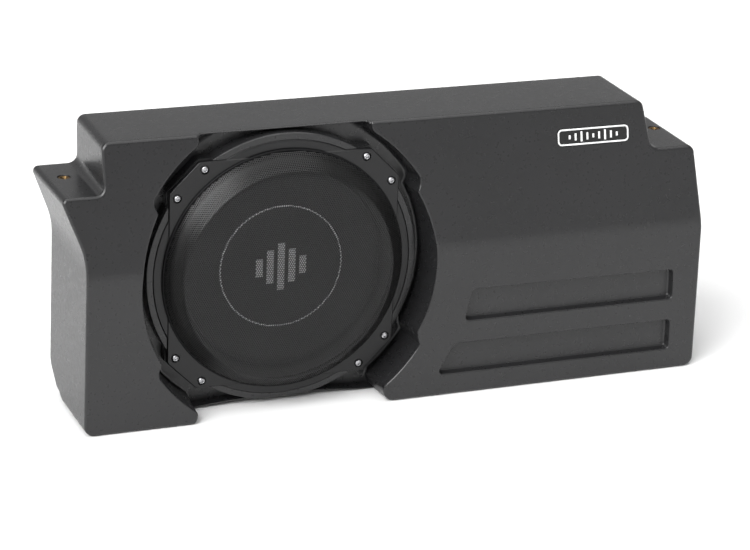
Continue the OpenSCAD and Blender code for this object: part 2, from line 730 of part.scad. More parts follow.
// Fluted control knob with a pointer slot, on the end of its shaft
module knob(p) {
    color([0.09, 0.09, 0.09]) difference() {
        rod(p, 3.8, plate_back_y - 5, back_y - 0.5, 48);
        rod(p, 1.55, 0, back_y - 4.9, 24);
        block(p[0] - 0.6, p[0] + 0.6, back_y - 1.6, big, p[1], p[1] + 4);
        for (a = [15:30:345])
            rod([p[0] + 4.2 * cos(a), p[1] + 4.2 * sin(a)], 0.7, plate_back_y + 1, big, 16);
    }
}
module gain_knob() { knob(knob_at[0]); }
module filter_knob() { knob(knob_at[1]); }
module boost_knob() { knob(knob_at[2]); }
module phase_switch() {
    p = switch_at;
    color([0.6, 0.6, 0.6]) difference() {
        block(p[0] - 3.9, p[0] + 3.9, board_y + board_t, plate_back_y, p[1] - 6.9, p[1] + 6.9);
        block(p[0] - 2.3, p[0] + 2.3, plate_back_y - 5, big, p[1] - 5, p[1] + 5);
    }
}
slider_travel = 4;
module phase_slider() {
    p = switch_at;
    color([0.9, 0.9, 0.9])
        block(p[0] - 2, p[0] + 2, plate_back_y - 4.7, plate_back_y + 3,
            p[1] - 4.7, p[1] + 4.7 - slider_travel);
}
module power_terminals() {
    p = terminal_at;
    color([0.07, 0.07, 0.07]) difference() {
        block(p[0] - 24.8, p[0] + 24.8, board_y + board_t, back_y - 0.5, p[1] - 8.8, p[1] + 8.8);
        for (dx = [-16, 0, 16]) {
            rod([p[0] + dx, p[1] - 2.6], 3.6, board_y + 8, big, 32);
            translate([p[0] + dx, back_y - 8, p[1] - 2.6]) cylinder(h = 20, r = 2.6, $fn = 32);
        }
    }
}
module terminal_screws() {
    p = terminal_at;
    color([0.7, 0.7, 0.72]) for (dx = [-16, 0, 16])
        translate([p[0] + dx, back_y - 8, p[1] + 1.6]) difference() {
            cylinder(h = 6, r = 2.5, $fn = 32);
            translate([0, 0, 4.5]) cylinder(h = 3, r = 1.3, $fn = 6);
        }
}
module fuse_holder() {
    color([0.08, 0.08, 0.08]) for (p = fuse_at) difference() {
        block(p[0] - 4.9, p[0] + 4.9, board_y + board_t, plate_back_y + 2, p[1] - 11.9, p[1] + 11.9);
        block(p[0] - 3, p[0] + 3, board_y + 8, big, p[1] - 10, p[1] + 10);
    }
}
module fuses() {
    color([0.75, 0.35, 0.1]) for (p = fuse_at) {
        block(p[0] - 2.6, p[0] + 2.6, plate_back_y - 6, back_y - 0.6, p[1] - 9.6, p[1] + 9.6);
        for (dz = [-6.5, 6.5])
            block(p[0] - 0.4, p[0] + 0.4, board_y + 8, plate_back_y - 6, p[1] + dz - 2.4, p[1] + dz + 2.4);
    }
}
module rca_jacks() {
    color([0.75, 0.72, 0.6]) for (p = jack_at) {
        rod(p, 5.1, board_y + board_t, plate_back_y, 32);
        difference() {
            rod(p, 4.15, plate_back_y, back_y - 0.5, 32);
            rod(p, 3.3, plate_back_y, big, 32);
        }
        rod(p, 1.6, plate_back_y, back_y - 2, 24);
    }
}
module remote_jack() {
    p = remote_at;
    color([0.08, 0.08, 0.08]) difference() {
        block(p[0] - 6.9, p[0] + 6.9, board_y + board_t, plate_back_y + 0.5, p[1] - 5.9, p[1] + 5.9);
        block(p[0] - 5, p[0] + 5, board_y + 6, big, p[1] - 3.6, p[1] + 3.4);
    }
}
module status_led() {
    color([0.3, 0.5, 0.9]) rod(led_at, 1.55, board_y + board_t, plate_back_y + 0.6, 24);
}

front_shell();
rear_cover();
seam_gasket();
cover_screws();
ledge_inserts();
baffle_ring();
driver_nuts();
driver_gasket();
driver_flange();
driver_basket();
driver_screws();
grille_ring();
grille_mesh();
surround();
cone();
dust_cap();
cap_print();
coil_former();
voice_coil();
spider();
top_plate();
magnet();
yoke();
driver_terminals();
tinsel_leads();
speaker_wires();
brace_posts();
damping_pad();
badge_plate();
badge_print();
amp_plate();
amp_gasket();
amp_screws();
amp_housing();
circuit_board();
board_standoffs();
capacitors();
choke_core();
choke_winding();
power_transistors();
clamp_bar();
control_pots();
gain_knob();
filter_knob();
boost_knob();
phase_switch();
phase_slider();
power_terminals();
terminal_screws();
fuse_holder();
fuses();
rca_jacks();
remote_jack();
status_led();
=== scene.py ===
"""Looks of the powered car subwoofer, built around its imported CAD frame."""
import json
import math

import bmesh
import bpy
import numpy as np
from mathutils import Matrix, Vector
from mathutils.geometry import delaunay_2d_cdt


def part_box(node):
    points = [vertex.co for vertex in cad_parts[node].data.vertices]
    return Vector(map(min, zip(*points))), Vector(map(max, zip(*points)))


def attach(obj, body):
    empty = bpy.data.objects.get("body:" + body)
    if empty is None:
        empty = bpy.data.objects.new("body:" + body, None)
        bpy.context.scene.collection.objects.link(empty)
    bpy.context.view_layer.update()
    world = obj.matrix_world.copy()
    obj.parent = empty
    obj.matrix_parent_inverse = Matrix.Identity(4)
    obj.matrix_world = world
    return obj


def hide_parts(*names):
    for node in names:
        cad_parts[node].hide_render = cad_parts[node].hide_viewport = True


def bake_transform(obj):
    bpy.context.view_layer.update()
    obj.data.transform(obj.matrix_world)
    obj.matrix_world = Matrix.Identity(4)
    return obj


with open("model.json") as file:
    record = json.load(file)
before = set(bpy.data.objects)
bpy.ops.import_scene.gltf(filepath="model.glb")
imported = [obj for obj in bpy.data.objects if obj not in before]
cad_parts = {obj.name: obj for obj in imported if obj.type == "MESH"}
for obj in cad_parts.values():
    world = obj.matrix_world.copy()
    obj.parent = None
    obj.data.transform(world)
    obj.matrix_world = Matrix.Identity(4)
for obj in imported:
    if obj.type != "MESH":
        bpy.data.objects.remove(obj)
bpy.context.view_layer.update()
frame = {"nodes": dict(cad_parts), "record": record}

MM = 0.001


def mm_box(node):
    """Lowest and highest corner of a CAD node, in millimetres."""
    low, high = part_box(node)
    return np.array(low) / MM, np.array(high) / MM


# ---- sizes shared by the pieces, in millimetres: x across, y back, z up ----
shell_low, shell_high = mm_box("front_shell")
HALF_W = shell_high[0]
HEIGHT = shell_high[2]
FRONT_Y = shell_low[1]
BACK_Y = mm_box("rear_cover")[1][1]
SEAM_Y = shell_high[1]
WALL = 5.0
LEAN = 29.0  # how far the upper front leans back
BEND_Z = 157.0  # where the upright and the leaning front would meet unrounded
LEDGE_Z = 233.0
CHAMFER_H = 32.0  # the slope along the lower back edge
CHAMFER_RUN = 40.0

cap_low, cap_high = mm_box("dust_cap")
AXIS = np.array([(cap_low[0] + cap_high[0]) / 2, (cap_low[2] + cap_high[2]) / 2])
BAFFLE_Y = -26.0
MOAT_D = 12.0  # depth of the groove round the driver's frame
MOAT_Y = BAFFLE_Y + MOAT_D
BAFFLE_BACK_Y = MOAT_Y + WALL
CUTOUT_R = 119.0
SCREW_CIRCLE_R = 134.0
SCREW_ANGLES = [q + s * 8 for q in (45, 135, 225, 315) for s in (-1, 1)]
EAR_HALF = 115.0  # half the width of the frame's raised square plate
EAR_REACH = 141.8  # distance of its cut corners from the axis
RIM_R = 129.5
EAR_Y = BAFFLE_Y - 6
RIM_Y = BAFFLE_Y - 5


# ---- flat outlines, in millimetres, counter-clockwise ----
def unit(v):
    return v / np.linalg.norm(v)


def smoothstep(t):
    t = np.clip(t, 0, 1)
    return t * t * (3 - 2 * t)


def rounded(path, turn=10.0):
    """Closed path of (across, up, radius) with every corner replaced by an arc."""
    out = []
    for i, (px, pz, r) in enumerate(path):
        a = np.array(path[i - 1][:2])
        p = np.array((px, pz))
        b = np.array(path[(i + 1) % len(path)][:2])
        u, v = unit(p - a), unit(b - p)
        bend = math.acos(max(-1.0, min(1.0, float(u @ v))))
        if r <= 0 or bend < 0.01:
            out.append(p)
            continue
        s = 1 if u[0] * v[1] - u[1] * v[0] > 0 else -1
        start = p - u * r * math.tan(bend / 2)
        centre = start + s * r * np.array((-u[1], u[0]))
        a0 = math.atan2(start[1] - centre[1], start[0] - centre[0])
        steps = max(2, math.ceil(math.degrees(bend) / turn))
        for k in range(steps + 1):
            t = a0 + s * bend * k / steps
            out.append(centre + r * np.array((math.cos(t), math.sin(t))))
    return np.array(out)


def divided(points, longest):
    """The same closed path with its long straight runs cut into steps."""
    out = []
    for a, b in zip(points, np.roll(points, -1, axis=0)):
        steps = max(1, math.ceil(np.linalg.norm(b - a) / longest))
        out += [a + (b - a) * k / steps for k in range(steps)]
    return np.array(out)


def circle(centre, r, steps):
    t = np.arange(steps) * 2 * math.pi / steps
    return np.column_stack((centre[0] + r * np.cos(t), centre[1] + r * np.sin(t)))


def ring_point(r, degrees):
    t = math.radians(degrees)
    return AXIS + r * np.array((math.cos(t), math.sin(t)))


def inward(points, d):
    """A closed counter-clockwise path moved inwards by d, point for point."""
    before = points - np.roll(points, 1, axis=0)
    after = np.roll(points, -1, axis=0) - points
    nb = np.column_stack((-before[:, 1], before[:, 0]))
    na = np.column_stack((-after[:, 1], after[:, 0]))
    nb /= np.linalg.norm(nb, axis=1)[:, None] + 1e-12
    na /= np.linalg.norm(na, axis=1)[:, None] + 1e-12
    dot = np.clip((nb * na).sum(axis=1), -0.6, 1.0)
    return points + d * (nb + na) / (1 + dot)[:, None]


def inside(q, poly):
    """Which of the points q lie inside the closed path."""
    hit = np.zeros(len(q), bool)
    for a, b in zip(poly, np.roll(poly, -1, axis=0)):
        if a[1] == b[1]:
            continue
        cross = (a[1] > q[:, 1]) != (b[1] > q[:, 1])
        at = a[0] + (q[:, 1] - a[1]) * (b[0] - a[0]) / (b[1] - a[1])
        hit ^= cross & (q[:, 0] < at)
    return hit


def distance(q, poly):
    """Distance of each point q from the closed path: positive outside, negative inside."""
    best = np.full(len(q), 1e9)
    for a, b in zip(poly, np.roll(poly, -1, axis=0)):
        ab = b - a
        size = ab @ ab
        if size < 1e-12:
            continue
        t = np.clip(((q - a) @ ab) / size, 0, 1)
        away = q - (a + t[:, None] * ab)
        best = np.minimum(best, (away ** 2).sum(axis=1))
    best = np.sqrt(best)
    return np.where(inside(q, poly), -best, best)


# ---- relief surfaces: a height over a flat outline, with rounded edges ----
class Pocket:
    """A sunk area: path, depth, and the radii where its wall meets the face and the floor."""

    margin = 0.8  # from the curved parts to the first ring on the flat

    def __init__(self, path, depth, top_r, run, floor_r, steps=4):
        self.path = path
        self.depth = depth
        self.top_r = top_r
        self.run = run
        self.floor_r = floor_r
        turns = [math.radians(90 * k / steps) for k in range(steps + 1)]
        self.rings = [top_r + self.margin] + [top_r * (1 - math.sin(t)) for t in turns]
        self.rings += [-run - floor_r * (1 - math.sin(t)) for t in reversed(turns)]
        self.rings.append(-run - floor_r - self.margin)

    def lines(self):
        return [inward(self.path, -s) for s in self.rings]

    def sink(self, q, depth=None):
        """How far each point lies below the face."""
        s = distance(q, self.path)
        full = np.full(len(q), float(self.depth)) if depth is None else depth
        top = edge_drop(s, self.top_r)
        low = full - self.floor_r
        wall = self.top_r + (low - self.top_r) * np.clip(-s / self.run, 0, 1)
        past_wall = np.clip(-self.run - s, 0, self.floor_r)
        floor = low + np.sqrt(np.maximum(self.floor_r ** 2 - (self.floor_r - past_wall) ** 2, 0))
        return np.where(s >= 0, top, np.where(s > -self.run, wall, floor))


def edge_drop(d, r):
    """How far a rounded edge of radius r has fallen, at distance d in from the outline."""
    return r - np.sqrt(np.maximum(r ** 2 - np.clip(r - d, 0, r) ** 2, 0))


def edge_rings(outline, r, steps=5):
    turns = [math.radians(90 * k / steps) for k in range(1, steps + 1)]
    return [inward(outline, r * (1 - math.cos(t))) for t in turns] + [inward(outline, r + 1.0)]


def triangulate(outline, holes, lines):
    """Points and triangles of the flat area between outline and holes, every line an edge."""
    coords, edges = [], []
    for path, closed in [(outline, True)] + [(h, True) for h in holes] + lines:
        base = len(coords)
        coords += [Vector((float(p[0]), float(p[1]))) for p in path]
        last = len(path) if closed else len(path) - 1
        edges += [(base + i, base + (i + 1) % len(path)) for i in range(last)]
    verts, _, faces, *_ = delaunay_2d_cdt(coords, edges, [], 0, 1e-5, False)
    pts = np.array([(v[0], v[1]) for v in verts])
    tris = np.array([f for f in faces if len(f) == 3], int)
    mid = pts[tris].mean(axis=1)
    keep = inside(mid, outline)
    for hole in holes:
        keep &= ~inside(mid, hole)
    tris = tris[keep]
    used, tris = np.unique(tris, return_inverse=True)
    return pts[used], tris.reshape(-1, 3)


def border_loops(tris, pts):
    """Ordered boundary loops of some triangles, the outer one first, all counter-clockwise."""
    count = {}
    for t in tris:
        for a, b in ((t[0], t[1]), (t[1], t[2]), (t[2], t[0])):
            key = (min(a, b), max(a, b))
            count[key] = count.get(key, 0) + 1
    ways = {}
    for (a, b), n in count.items():
        if n == 1:
            ways.setdefault(a, []).append(b)
            ways.setdefault(b, []).append(a)
    loops = []
    free = set(ways)
    while free:
        start = free.pop()
        loop = [start]
        here, last = ways[start][0], start
        while here != start:
            loop.append(here)
            free.discard(here)
            nxt = [w for w in ways[here] if w != last]
            last, here = here, nxt[0]
        p = pts[loop]
        area = float((p[:, 0] * np.roll(p[:, 1], -1) - np.roll(p[:, 0], -1) * p[:, 1]).sum())
        loops.append((abs(area), loop if area > 0 else loop[::-1]))
    loops.sort(key=lambda item: -item[0])
    return [loop for _, loop in loops]


CREASE = 35.0
MERGE = 0.002


class Build:
    """Collects points (across, back, up, in millimetres) and faces for one piece."""

    def __init__(self):
        self.points = []
        self.faces = []

    def add(self, pts):
        base = len(self.points)
        self.points += [tuple(p) for p in pts]
        return list(range(base, base + len(pts)))

    def sheet(self, points, tris):
        """A triangulated surface."""
        ids = self.add(points)
        self.faces += [tuple(ids[i] for i in t) for t in tris]
        return ids

    def loft(self, first, rings):
        """Quads from a loop of ids through rings of points with as many points each."""
        ids = first
        for ring in rings:
            new = self.add(ring)
            for i in range(len(ids)):
                j = (i + 1) % len(ids)
                self.faces.append((ids[i], ids[j], new[j], new[i]))
            ids = new
        return ids

    def bar(self, rings):
        """A solid through rings of points, capped at both ends."""
        first = self.add(rings[0])
        last = self.loft(first, rings[1:])
        self.faces += [tuple(first[::-1]), tuple(last)]

    def turned(self, profile, steps, place, closed):
        """Quads through a profile of (radius, height), set all the way round an axis by place."""
        ids = []
        for k in range(steps):
            t = 2 * math.pi * k / steps
            ids.append(self.add([place(r * math.cos(t), r * math.sin(t), h) for r, h in profile]))
        n = len(profile)
        for a, b in zip(ids, ids[1:] + ids[:1]):
            for i in range(n if closed else n - 1):
                j = (i + 1) % n
                self.faces.append((a[i], a[j], b[j], b[i]))
        return self

    def stitch(self, a, b):
        """Triangles between two loops of ids that run side by side with different counts."""
        pa = np.array([self.points[i] for i in a])
        pb = np.array([self.points[i] for i in b])
        shift = int(np.argmin(((pb - pa[0]) ** 2).sum(axis=1)))
        b = b[shift:] + b[:shift]
        pb = np.roll(pb, -shift, axis=0)

        def along(p):
            steps = np.linalg.norm(np.roll(p, -1, axis=0) - p, axis=1)
            return np.concatenate(([0], np.cumsum(steps))) / steps.sum()

        ta, tb = along(pa), along(pb)
        i = j = 0
        while i < len(a) or j < len(b):
            if j == len(b) or (i < len(a) and ta[i + 1] <= tb[j + 1]):
                self.faces.append((a[i % len(a)], a[(i + 1) % len(a)], b[j % len(b)]))
                i += 1
            else:
                self.faces.append((a[i % len(a)], b[(j + 1) % len(b)], b[j % len(b)]))
                j += 1

    def piece(self, name, material, crease=CREASE, weighted=True):
        """The finished object, in metres."""
        mesh = bpy.data.meshes.new(name)
        mesh.from_pydata([(x * MM, y * MM, z * MM) for x, y, z in self.points], [], self.faces)
        bm = bmesh.new()
        bm.from_mesh(mesh)
        bmesh.ops.remove_doubles(bm, verts=bm.verts, dist=MERGE * MM)
        bmesh.ops.dissolve_degenerate(bm, edges=bm.edges, dist=MERGE * MM)
        bmesh.ops.recalc_face_normals(bm, faces=bm.faces)
        bm.to_mesh(mesh)
        bm.free()
        return dressed(name, mesh, material, crease, weighted)


def shaded(mesh, crease):
    """Smooth shading, with an edge kept sharp where it bends by more than crease degrees."""
    mesh.shade_smooth()
    mesh.set_sharp_from_angle(angle=math.radians(crease))


def weigh_normals(obj):
    obj.modifiers.new("weighted", "WEIGHTED_NORMAL").keep_sharp = True


def dressed(name, mesh, material, crease, weighted):
    """An object of the mesh and material; without a crease it stays flat shaded."""
    obj = bpy.data.objects.new(name, mesh)
    bpy.context.scene.collection.objects.link(obj)
    mesh.materials.append(material)
    if crease is not None:
        shaded(mesh, crease)
    if weighted:
        weigh_normals(obj)
    return obj


def lathe(profile, steps):
    """Turns a closed profile of (radius, back) about the driver's axis."""
    return Build().turned(profile, steps, lambda a, b, y: (AXIS[0] + a, y, AXIS[1] + b), True)


def upright(build, centre, profile):
    """Turns an open profile of (radius, up) about a vertical axis at (across, back)."""
    build.turned(profile, 40, lambda a, b, z: (centre[0] + a, centre[1] + b, z), False)


# ---- materials ----
# each pattern's node, the factor on its scale, and the output it is read from
PATTERNS = {
    "noise": ("ShaderNodeTexNoise", 1.0, "Fac"),
    "cells": ("ShaderNodeTexVoronoi", 1.0, "Distance"),
    "bands": ("ShaderNodeTexWave", 0.16, "Fac"),
}
FINISH = {}
NOISE_LOW, NOISE_HIGH = 0.3, 0.7  # the part of the noise that a mottle is spread over
FINE_MOTTLE = 14  # how much finer the roughness varies than the colour


def surface(name, colour, rough, metallic=0.0, mottle=(45.0, 0.1), rough_by=0.04, bumps=(),
            **sockets):
    """A finish: mottle of (size, share) and bumps of (kind, size, depth), in millimetres."""
    mat = bpy.data.materials.new(name)
    mat.use_nodes = True
    tree = mat.node_tree
    shader = tree.nodes["Principled BSDF"]
    shader.inputs["Metallic"].default_value = metallic
    for key, value in sockets.items():
        shader.inputs[key.replace("_", " ")].default_value = value
    place = tree.nodes.new("ShaderNodeTexCoord").outputs["Object"]

    def pattern(kind, size):
        node_type, factor, output = PATTERNS[kind]
        node = tree.nodes.new(node_type)
        node.inputs["Scale"].default_value = factor / (size * MM)
        tree.links.new(place, node.inputs["Vector"])
        return node.outputs[output]

    def spread(value, low, high):
        node = tree.nodes.new("ShaderNodeMapRange")
        node.inputs["From Min"].default_value = NOISE_LOW
        node.inputs["From Max"].default_value = NOISE_HIGH
        node.inputs["To Min"].default_value = low
        node.inputs["To Max"].default_value = high
        tree.links.new(value, node.inputs["Value"])
        return node.outputs["Result"]

    patch = pattern("noise", mottle[0])
    fine = pattern("noise", mottle[0] / FINE_MOTTLE)
    mix = tree.nodes.new("ShaderNodeMix")
    mix.data_type = "RGBA"
    mix.inputs["A"].default_value = (*[c * (1 - mottle[1]) for c in colour], 1)
    mix.inputs["B"].default_value = (*[min(1, c * (1 + mottle[1])) for c in colour], 1)
    tree.links.new(spread(patch, 0, 1), mix.inputs["Factor"])
    tree.links.new(mix.outputs["Result"], shader.inputs["Base Color"])
    tree.links.new(spread(fine, rough - rough_by, rough + rough_by), shader.inputs["Roughness"])
    normal = None
    for kind, size, depth in bumps:
        bump = tree.nodes.new("ShaderNodeBump")
        bump.inputs["Distance"].default_value = depth * MM
        tree.links.new(pattern(kind, size), bump.inputs["Height"])
        if normal:
            tree.links.new(normal, bump.inputs["Normal"])
        normal = bump.outputs["Normal"]
    if normal:
        tree.links.new(normal, shader.inputs["Normal"])
    FINISH[name] = mat


surface("shell_plastic", (0.014, 0.014, 0.0147), 0.3, mottle=(60, 0.06),
        bumps=[("noise", 1.6, 0.02), ("noise", 0.7, 0.006)])
surface("rubber_black", (0.018, 0.018, 0.018), 0.7, bumps=[("noise", 0.8, 0.04)])
surface("screw_black", (0.05, 0.05, 0.055), 0.35, 0.9, bumps=[("noise", 0.5, 0.01)])
surface("screw_bright", (0.5, 0.5, 0.515), 0.3, 1.0, (4, 0.06), 0.06, [("noise", 0.4, 0.008)])
surface("brass", (0.17, 0.11, 0.05), 0.45, 1.0, (5, 0.08), 0.06, [("bands", 0.5, 0.01)])
surface("plywood", (0.5, 0.36, 0.2), 0.65, mottle=(18, 0.2), bumps=[("bands", 3, 0.1)])
surface("frame_black", (0.006, 0.006, 0.0065), 0.34, mottle=(25, 0.08),
        bumps=[("noise", 0.9, 0.02)], Specular_IOR_Level=0.4)
surface("ring_plastic", (0.006, 0.006, 0.0065), 0.55,
        bumps=[("noise", 0.7, 0.02)], Specular_IOR_Level=0.15)
surface("mesh_black", (0.014, 0.014, 0.014), 0.34, mottle=(30, 0.1), bumps=[("noise", 0.5, 0.015)])
surface("surround_rubber", (0.02, 0.02, 0.02), 0.5, bumps=[("noise", 0.6, 0.02)])
surface("cone_black", (0.014, 0.014, 0.015), 0.6, mottle=(8, 0.2),
        bumps=[("cells", 1.1, 0.05), ("noise", 0.5, 0.03)])
surface("print_grey", (0.62, 0.62, 0.63), 0.6, mottle=(3, 0.1))
surface("former_amber", (0.5, 0.28, 0.08), 0.35, bumps=[("noise", 2, 0.02)])
surface("copper", (0.68, 0.32, 0.16), 0.3, 1.0, (4, 0.1), 0.05, [("bands", 0.4, 0.05)])
surface("spider_cloth", (0.58, 0.5, 0.28), 0.85, mottle=(6, 0.12),
        bumps=[("cells", 0.7, 0.1)], Sheen_Weight=0.3)
surface("motor_steel", (0.3, 0.3, 0.31), 0.4, 0.9, bumps=[("noise", 3, 0.03)])
surface("ferrite", (0.06, 0.06, 0.065), 0.75, bumps=[("noise", 1, 0.06)])
surface("terminal_black", (0.022, 0.022, 0.022), 0.38, bumps=[("noise", 0.6, 0.02)])
surface("wire_red", (0.4, 0.03, 0.025), 0.45, bumps=[("noise", 1.5, 0.02)])
surface("felt_grey", (0.2, 0.2, 0.2), 0.95, mottle=(5, 0.25),
        bumps=[("noise", 0.8, 0.3)], Sheen_Weight=0.4)
surface("badge_black", (0.008, 0.008, 0.008), 0.2, mottle=(12, 0.1), rough_by=0.03,
        bumps=[("noise", 4, 0.004)])
surface("badge_white", (0.8, 0.8, 0.8), 0.35, mottle=(8, 0.03), bumps=[("noise", 1, 0.01)])
surface("plate_black", (0.03, 0.03, 0.032), 0.42, 0.6, (20, 0.1), 0.06, [("noise", 0.5, 0.02)])
surface("can_grey", (0.5, 0.5, 0.52), 0.4, 1.0, bumps=[("bands", 1.2, 0.01)])
surface("board_green", (0.02, 0.13, 0.05), 0.35, bumps=[("noise", 2, 0.03)])
surface("cap_sleeve", (0.04, 0.05, 0.14), 0.3, bumps=[("noise", 4, 0.02)])
surface("core_green", (0.12, 0.17, 0.07), 0.5, bumps=[("noise", 1.5, 0.05)])
surface("chip_black", (0.025, 0.025, 0.025), 0.6, bumps=[("noise", 0.4, 0.02)])
surface("bar_alloy", (0.6, 0.6, 0.62), 0.35, 1.0, bumps=[("bands", 0.8, 0.01)])
surface("knob_black", (0.02, 0.02, 0.02), 0.45, bumps=[("noise", 0.5, 0.02)])
surface("switch_metal", (0.55, 0.55, 0.56), 0.35, 1.0, bumps=[("noise", 0.6, 0.01)])
surface("slider_white", (0.7, 0.7, 0.68), 0.4, bumps=[("noise", 0.6, 0.01)])
surface("fuse_amber", (0.7, 0.22, 0.03), 0.2, mottle=(6, 0.1),
        bumps=[("noise", 2, 0.01)], Coat_Weight=0.4)
surface("jack_metal", (0.76, 0.68, 0.5), 0.22, 1.0, bumps=[("noise", 0.8, 0.006)])
surface("led_lens", (0.3, 0.5, 0.9), 0.15, mottle=(2, 0.05), Coat_Weight=0.5)


def placed(piece, body, slot, *nodes):
    """Puts a finished piece on its body and hides the CAD nodes it stands for; the slot is not
    used.
    """
    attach(piece, body)
    if nodes:
        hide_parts(*nodes)
    return piece


# ---- the two mouldings ----
# corners as (across, up, radius)
OUTLINE = [
    (-314, 0, 10), (-204, 0, 20), (-160, 3.5, 60), (-110, 4.5, 60), (-60, 3.5, 60), (-22, 0, 20),
    (HALF_W, 0, 10), (HALF_W - 3, 150, 60), (HALF_W - 11, LEDGE_Z, 8), (272.3, LEDGE_Z, 9),
    (263.5, HEIGHT, 8), (-287.5, HEIGHT, 8), (-287.5, LEDGE_Z, 9), (-HALF_W - 2.2, LEDGE_Z, 5),
    (-311, 178, 60),
]
PANELS = [
    [(72.5, 77.3, 4), (300, 77, 4), (298.5, 108.5, 4), (78.5, 110, 6)],
    [(45.5, 22.5, 4), (300.5, 22, 4), (299.5, 54, 4), (62.5, 54, 8)],
]
PANEL_D = 8.0
INSERT_AT = [(-310, 19), (305.5, 19)]
INSERT_R = 6.0
INSERT_LEN = 18.0
COVER_SCREWS = [
    (-262, 271), (-170, 271), (0, 271), (100, 271), (240, 271),
    (-306, 190), (-303, 115), (-304.5, 40), (314.5, 190), (318.5, 115), (320.5, 40),
    (-215, 24), (-15, 24), (120, 24), (230, 24),
]
AMP_CENTRE = (165, 152)
AMP_POCKET = (232, 168)
AMP_WINDOW = (206, 140)
EDGE_R = 3.0
STEP = 8.0  # longest straight run of an outline
BEND_LOW, BEND_HIGH, BEND_R = 150.05, 163.77, 60.0  # rounding between upright and leaning front
HEEL_LOW, HEEL_HIGH, HEEL_R = 27.8, 38.73, 14.0  # rounding between chamfer and upright back
TOE_LOW, TOE_HIGH, TOE_R = 17.2, 22.2, 8.0  # rounding between underside and chamfer, in y
LOW_ZONE = 40.0  # heights below this follow the chamfer
ARCH = (-212, -14, 6)  # the underside's opening below the driver: from, to, height
DRAFT_FROM, DRAFT_OVER = -287, 24  # across: where the left side's draft starts, and its run
DRAFT, DRAFT_IN = 4.0, 2.5  # its widening from front to back, and how far in the front is
LEDGE_IN, LEDGE_IN_Z, LEDGE_IN_H = 1.5, 178, 55  # how much further in it is near the ledge
LOBES = ((30.5, 60), (120, 149.5), (211.5, 238), (304, 330))  # angles of the wide parts
RECESS_R, LOBE_RISE, LOBE_FADE = 147.5, 9.5, 3.5


def front_face(z):
    """Y of the front: upright below, leaning back above."""
    arc = -np.sqrt(np.maximum(BEND_R ** 2 - (z - BEND_LOW) ** 2, 0))
    slope = FRONT_Y + (z - BEND_Z) * LEAN / (HEIGHT - BEND_Z)
    return np.where(z < BEND_LOW, FRONT_Y, np.where(z < BEND_HIGH, arc, slope))


def back_face(z):
    """Y of the back: the lower chamfer, a rounded bend, and the upright face."""
    arc = BACK_Y - HEEL_R + np.sqrt(np.maximum(HEEL_R ** 2 - (z - HEEL_HIGH) ** 2, 0))
    slope = BACK_Y - CHAMFER_RUN + z * CHAMFER_RUN / CHAMFER_H
    return np.where(z < HEEL_LOW, slope, np.where(z < HEEL_HIGH, arc, BACK_Y))


def chamfer_z(y):
    """Height of the underside, which rises with the chamfer towards the back."""
    arc = TOE_R - np.sqrt(TOE_R ** 2 - np.clip(y - TOE_LOW, 0, TOE_HIGH - TOE_LOW) ** 2)
    slope = (y - BACK_Y + CHAMFER_RUN) * CHAMFER_H / CHAMFER_RUN
    return np.where(y < TOE_LOW, 0, np.where(y < TOE_HIGH, arc, slope))


def lifted(p):
    """Raises the underside where the lower rear chamfer cuts in."""
    x, y, z = p.T
    low = chamfer_z(y)
    scaled = np.where(z < LOW_ZONE, low + z * (LOW_ZONE - low) / LOW_ZONE, z)
    in_arch = (x > ARCH[0]) & (x < ARCH[1]) & (z < ARCH[2])
    return np.column_stack((x, y, np.where(in_arch, np.maximum(z, low), scaled)))


def drafted(p):
    """Leans the left side wall a little outwards towards the back."""
    x, y, z = p.T
    side = np.clip((DRAFT_FROM - x) / DRAFT_OVER, 0, 1)
    near_ledge = LEDGE_IN * np.clip((z - LEDGE_IN_Z) / LEDGE_IN_H, 0, 1)
    amount = DRAFT_IN + near_ledge - DRAFT * (y - FRONT_Y) / (BACK_Y - FRONT_Y)
    return np.column_stack((x + side * amount, y, z))


def lobe_radius(t):
    """Radius of the recess wall at angle t: wider over the four corners of the frame."""
    wide = max(min(t - a0, a1 - t) / LOBE_FADE + 0.5 for a0, a1 in LOBES)
    return RECESS_R + LOBE_RISE * smoothstep(wide)


def arc_points(t0, t1):
    """Corners of the recess wall between two angles."""
    steps = round((t1 - t0) / 2)
    out = []
    for k in range(steps + 1):
        t = t0 + (t1 - t0) * k / steps
        p = ring_point(lobe_radius(t % 360), t)
        out.append((p[0], p[1], 8 if k in (0, steps) else 0))
    return out


RECESS = divided(rounded(
    [(16, -6, 1), (0, -1.5, 5), (-9, 5, 8)] + arc_points(308, 417)
    + [(-24.5, 292, 1), (-196.5, 292, 1)] + arc_points(123, 234)
    + [(-199.5, 7, 6), (-209, -12, 4)], 15), STEP)


RIM_STEPS = 20


def frame_path(rim, half, reach):
    """A round rim with four cut corners standing past it, as on the driver's frame."""
    kink = math.degrees(math.acos(half / rim))
    corner = math.degrees(math.atan2(reach * math.sqrt(2) - half, half))
    corner_r = half / math.cos(math.radians(corner))
    path = []
    for q in range(4):
        base = 90 * q
        for t, r, turn_r in ((kink, rim, 1.5), (corner, corner_r, 6), (90 - corner, corner_r, 6),
                             (90 - kink, rim, 1.5)):
            path.append((*ring_point(r, base + t), turn_r))
        for k in range(1, RIM_STEPS):
            path.append((*ring_point(rim, base + 90 - kink + 2 * kink * k / RIM_STEPS), 0))
    return rounded(path, 12)


